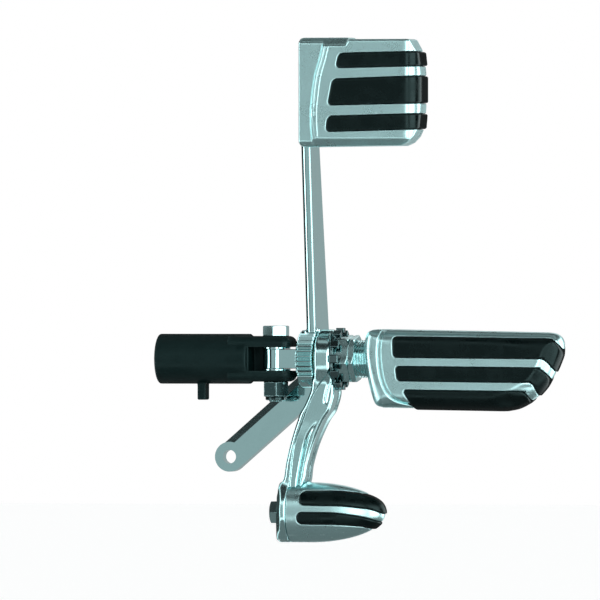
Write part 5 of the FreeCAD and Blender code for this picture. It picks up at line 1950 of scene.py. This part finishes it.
@dataclass(frozen=True)
class Studio:
    """The pale floor, the light and the camera."""

    azimuth: float = math.radians(14.5)
    distance: float = 9.2
    lens: float = 920.0
    aim: tuple[float, float, float] = (0.0859, 0.0036, 0.0353)
    floor_drop: float = 0.17
    tent_radius: float = 3.0
    tent_centre: tuple[float, float, float] = (0.1, 0.0, 0.03)
    horizon: tuple[Point, ...] = ((-180, 0.42), (-152, 0.42), (-146, 0.07), (-69, 0.05), (-66, 3.2),
                                  (-47, 3.2), (-44, 0.05), (-29, 0.05), (-26, 0.46), (3, 0.46), (5, 0.05),
                                  (9, 0.05), (11, 3.2), (30, 3.2), (32, 0.08), (40, 0.08), (42, 3.2),
                                  (74, 3.2), (77, 0.05), (98, 0.05), (100, 3.2), (138, 3.2), (141, 0.10),
                                  (148, 0.10), (153, 0.42), (180, 0.42))
    rise: tuple[Point, ...] = ((-90, 0.0), (-40, 0.0), (-16, 1.0), (18, 1.0), (40, 0.0), (90, 0.0))
    caps: tuple[Point, ...] = ((-90, 0.20), (-42, 0.20), (-40, 0.04), (-36, 0.04), (-34, 2.2), (-27, 2.2),
                               (-25, 0.2), (20, 0.05), (22, 2.6), (31, 2.6), (33, 0.04), (60, 0.04),
                               (62, 0.5), (70, 0.5), (72, 0.04), (90, 0.04))

    def build(self) -> None:
        """Set the stage."""
        self._world()
        self._floor()
        self._tent()
        self._lamps()
        self._camera()
        bpy.context.scene.view_settings.view_transform = "Standard"

    @staticmethod
    def _world() -> None:
        """A white world at a plain level."""
        world = bpy.data.worlds.new("studio_air")
        bpy.context.scene.world = world
        world.use_nodes = True
        tree = world.node_tree
        tree.nodes.clear()
        bench = NodeBench(tree)
        path = bench.add("LightPath").outputs
        seen = bench.math("MAXIMUM", path["Is Camera Ray"], path["Is Glossy Ray"])
        seen = bench.math("MAXIMUM", seen, path["Is Transmission Ray"])
        strength = bench.between(seen, 0.0, 1.0, 0.55, 1.0)
        glow = bench.add("Background", {"Color": (1, 1, 1, 1), "Strength": strength})
        end = bench.add("OutputWorld")
        tree.links.new(glow.outputs[0], end.inputs["Surface"])

    def _floor(self) -> None:
        """A wide pale floor that keeps the shadow."""
        low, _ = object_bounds()
        level = low.z - self.floor_drop
        reach = 14.0
        mesh = bpy.data.meshes.new("floor")
        corners = [(a * reach, b * reach, level) for a, b in ((-1, -1), (1, -1), (1, 1), (-1, 1))]
        mesh.from_pydata(corners, [], [(0, 1, 2, 3)])
        floor = bpy.data.objects.new("floor", mesh)
        bpy.context.scene.collection.objects.link(floor)
        made = bpy.data.materials.new("pale_floor")
        made.use_nodes = True
        bench = NodeBench(made.node_tree)
        shader = made.node_tree.nodes["Principled BSDF"]
        shader.inputs["Base Color"].default_value = (0.86, 0.88, 0.88, 1)
        shader.inputs["Roughness"].default_value = 0.9
        shader.inputs["Emission Color"].default_value = (1, 1, 1, 1)
        path = bench.add("LightPath").outputs
        seen = bench.math("MAXIMUM", path["Is Camera Ray"], path["Is Glossy Ray"])
        made.node_tree.links.new(bench.math("MULTIPLY", seen, 0.45), shader.inputs["Emission Strength"])
        mesh.materials.append(made)
        floor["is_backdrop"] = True

    def _tent(self) -> None:
        """A light tent that only reflections see: bright and dark panels all round."""
        low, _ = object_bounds()
        above_floor = self.tent_centre[2] - (low.z - self.floor_drop) - 0.003
        around = np.arange(-180, 181, 1.0)
        up = np.arange(-90, 91, 2.0)
        horizon = np.interp(around, *np.array(self.horizon, float).T)
        points, glows = [], []
        for tilt in up:
            reach = self.tent_radius
            if tilt < 0:
                reach = min(reach, above_floor / math.sin(math.radians(-tilt)))
            share = np.interp(tilt, *np.array(self.rise, float).T)
            cap = np.interp(tilt, *np.array(self.caps, float).T)
            flat, height = math.cos(math.radians(tilt)) * reach, math.sin(math.radians(tilt)) * reach
            for angle, glow in zip(np.radians(around), horizon):
                points.append((flat * math.sin(angle), -flat * math.cos(angle), height))
                glows.append(share * glow + (1.0 - share) * cap)
        count = len(around)
        faces = [(row * count + i, row * count + i + 1, (row + 1) * count + i + 1, (row + 1) * count + i)
                 for row in range(len(up) - 1) for i in range(count - 1)]
        mesh = bpy.data.meshes.new("light_tent")
        mesh.from_pydata(points, [], faces)
        mesh.attributes.new("glow", "FLOAT", "POINT").data.foreach_set("value", glows)
        tent = bpy.data.objects.new("light_tent", mesh)
        bpy.context.scene.collection.objects.link(tent)
        tent.location = self.tent_centre
        made = bpy.data.materials.new("light_tent")
        made.use_nodes = True
        tree = made.node_tree
        tree.nodes.clear()
        bench = NodeBench(tree)
        glow = bench.add("Attribute", attribute_name="glow")
        light = bench.add("Emission", {"Color": (0.97, 1.0, 1.0, 1), "Strength": glow.outputs["Fac"]})
        end = bench.add("OutputMaterial")
        tree.links.new(light.outputs[0], end.inputs["Surface"])
        mesh.materials.append(made)
        tent.visible_camera = False
        tent.visible_diffuse = False
        tent.visible_shadow = False
        tent.visible_transmission = False
        tent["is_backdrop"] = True

    @staticmethod
    def _lamps() -> None:
        """Soft lamps: a key at the outboard side, a fill at the inboard side and one above."""
        aim = Vector((0.11, 0.0, 0.03))
        plans = (
            ("key", (1.5, -1.5, 0.75), 0.9, 16.0),
            ("fill", (-1.6, -1.3, 0.5), 0.8, 8.0),
            ("top", (0.1, -0.3, 1.9), 1.0, 8.0),
        )
        for name, place, size, power in plans:
            data = bpy.data.lights.new(name, "AREA")
            data.size = size
            data.energy = power
            lamp = bpy.data.objects.new(name, data)
            bpy.context.scene.collection.objects.link(lamp)
            lamp.location = place
            lamp.rotation_mode = "QUATERNION"
            lamp.rotation_quaternion = (aim - Vector(place)).to_track_quat("-Z", "Y")
            lamp.visible_glossy = False

    def _camera(self) -> None:
        """The camera at the photograph's angle."""
        data = bpy.data.cameras.new("camera")
        data.lens = self.lens
        data.sensor_width = 36.0
        data.clip_end = 100.0
        camera = bpy.data.objects.new("camera", data)
        bpy.context.scene.collection.objects.link(camera)
        back = Vector((math.sin(self.azimuth), -math.cos(self.azimuth), 0.0))
        camera.location = Vector(self.aim) + back * self.distance
        camera.rotation_mode = "QUATERNION"
        camera.rotation_quaternion = (-back).to_track_quat("-Z", "Y")
        bpy.context.scene.camera = camera


def main() -> None:
    """Build every sub-assembly and the studio."""
    logging.basicConfig(level=logging.INFO, format="%(name)s: %(message)s")
    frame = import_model()
    shop = Workshop(frame["nodes"])
    for assembly in (ClevisMount(), Spindle(), LargePeg(), PedalPad(), PedalLever(), SmallPeg(), ToeArm()):
        assembly.build(shop)
        LOG.info("built %s", type(assembly).__name__)
    Studio().build()


if __name__ == "__main__":
    main()
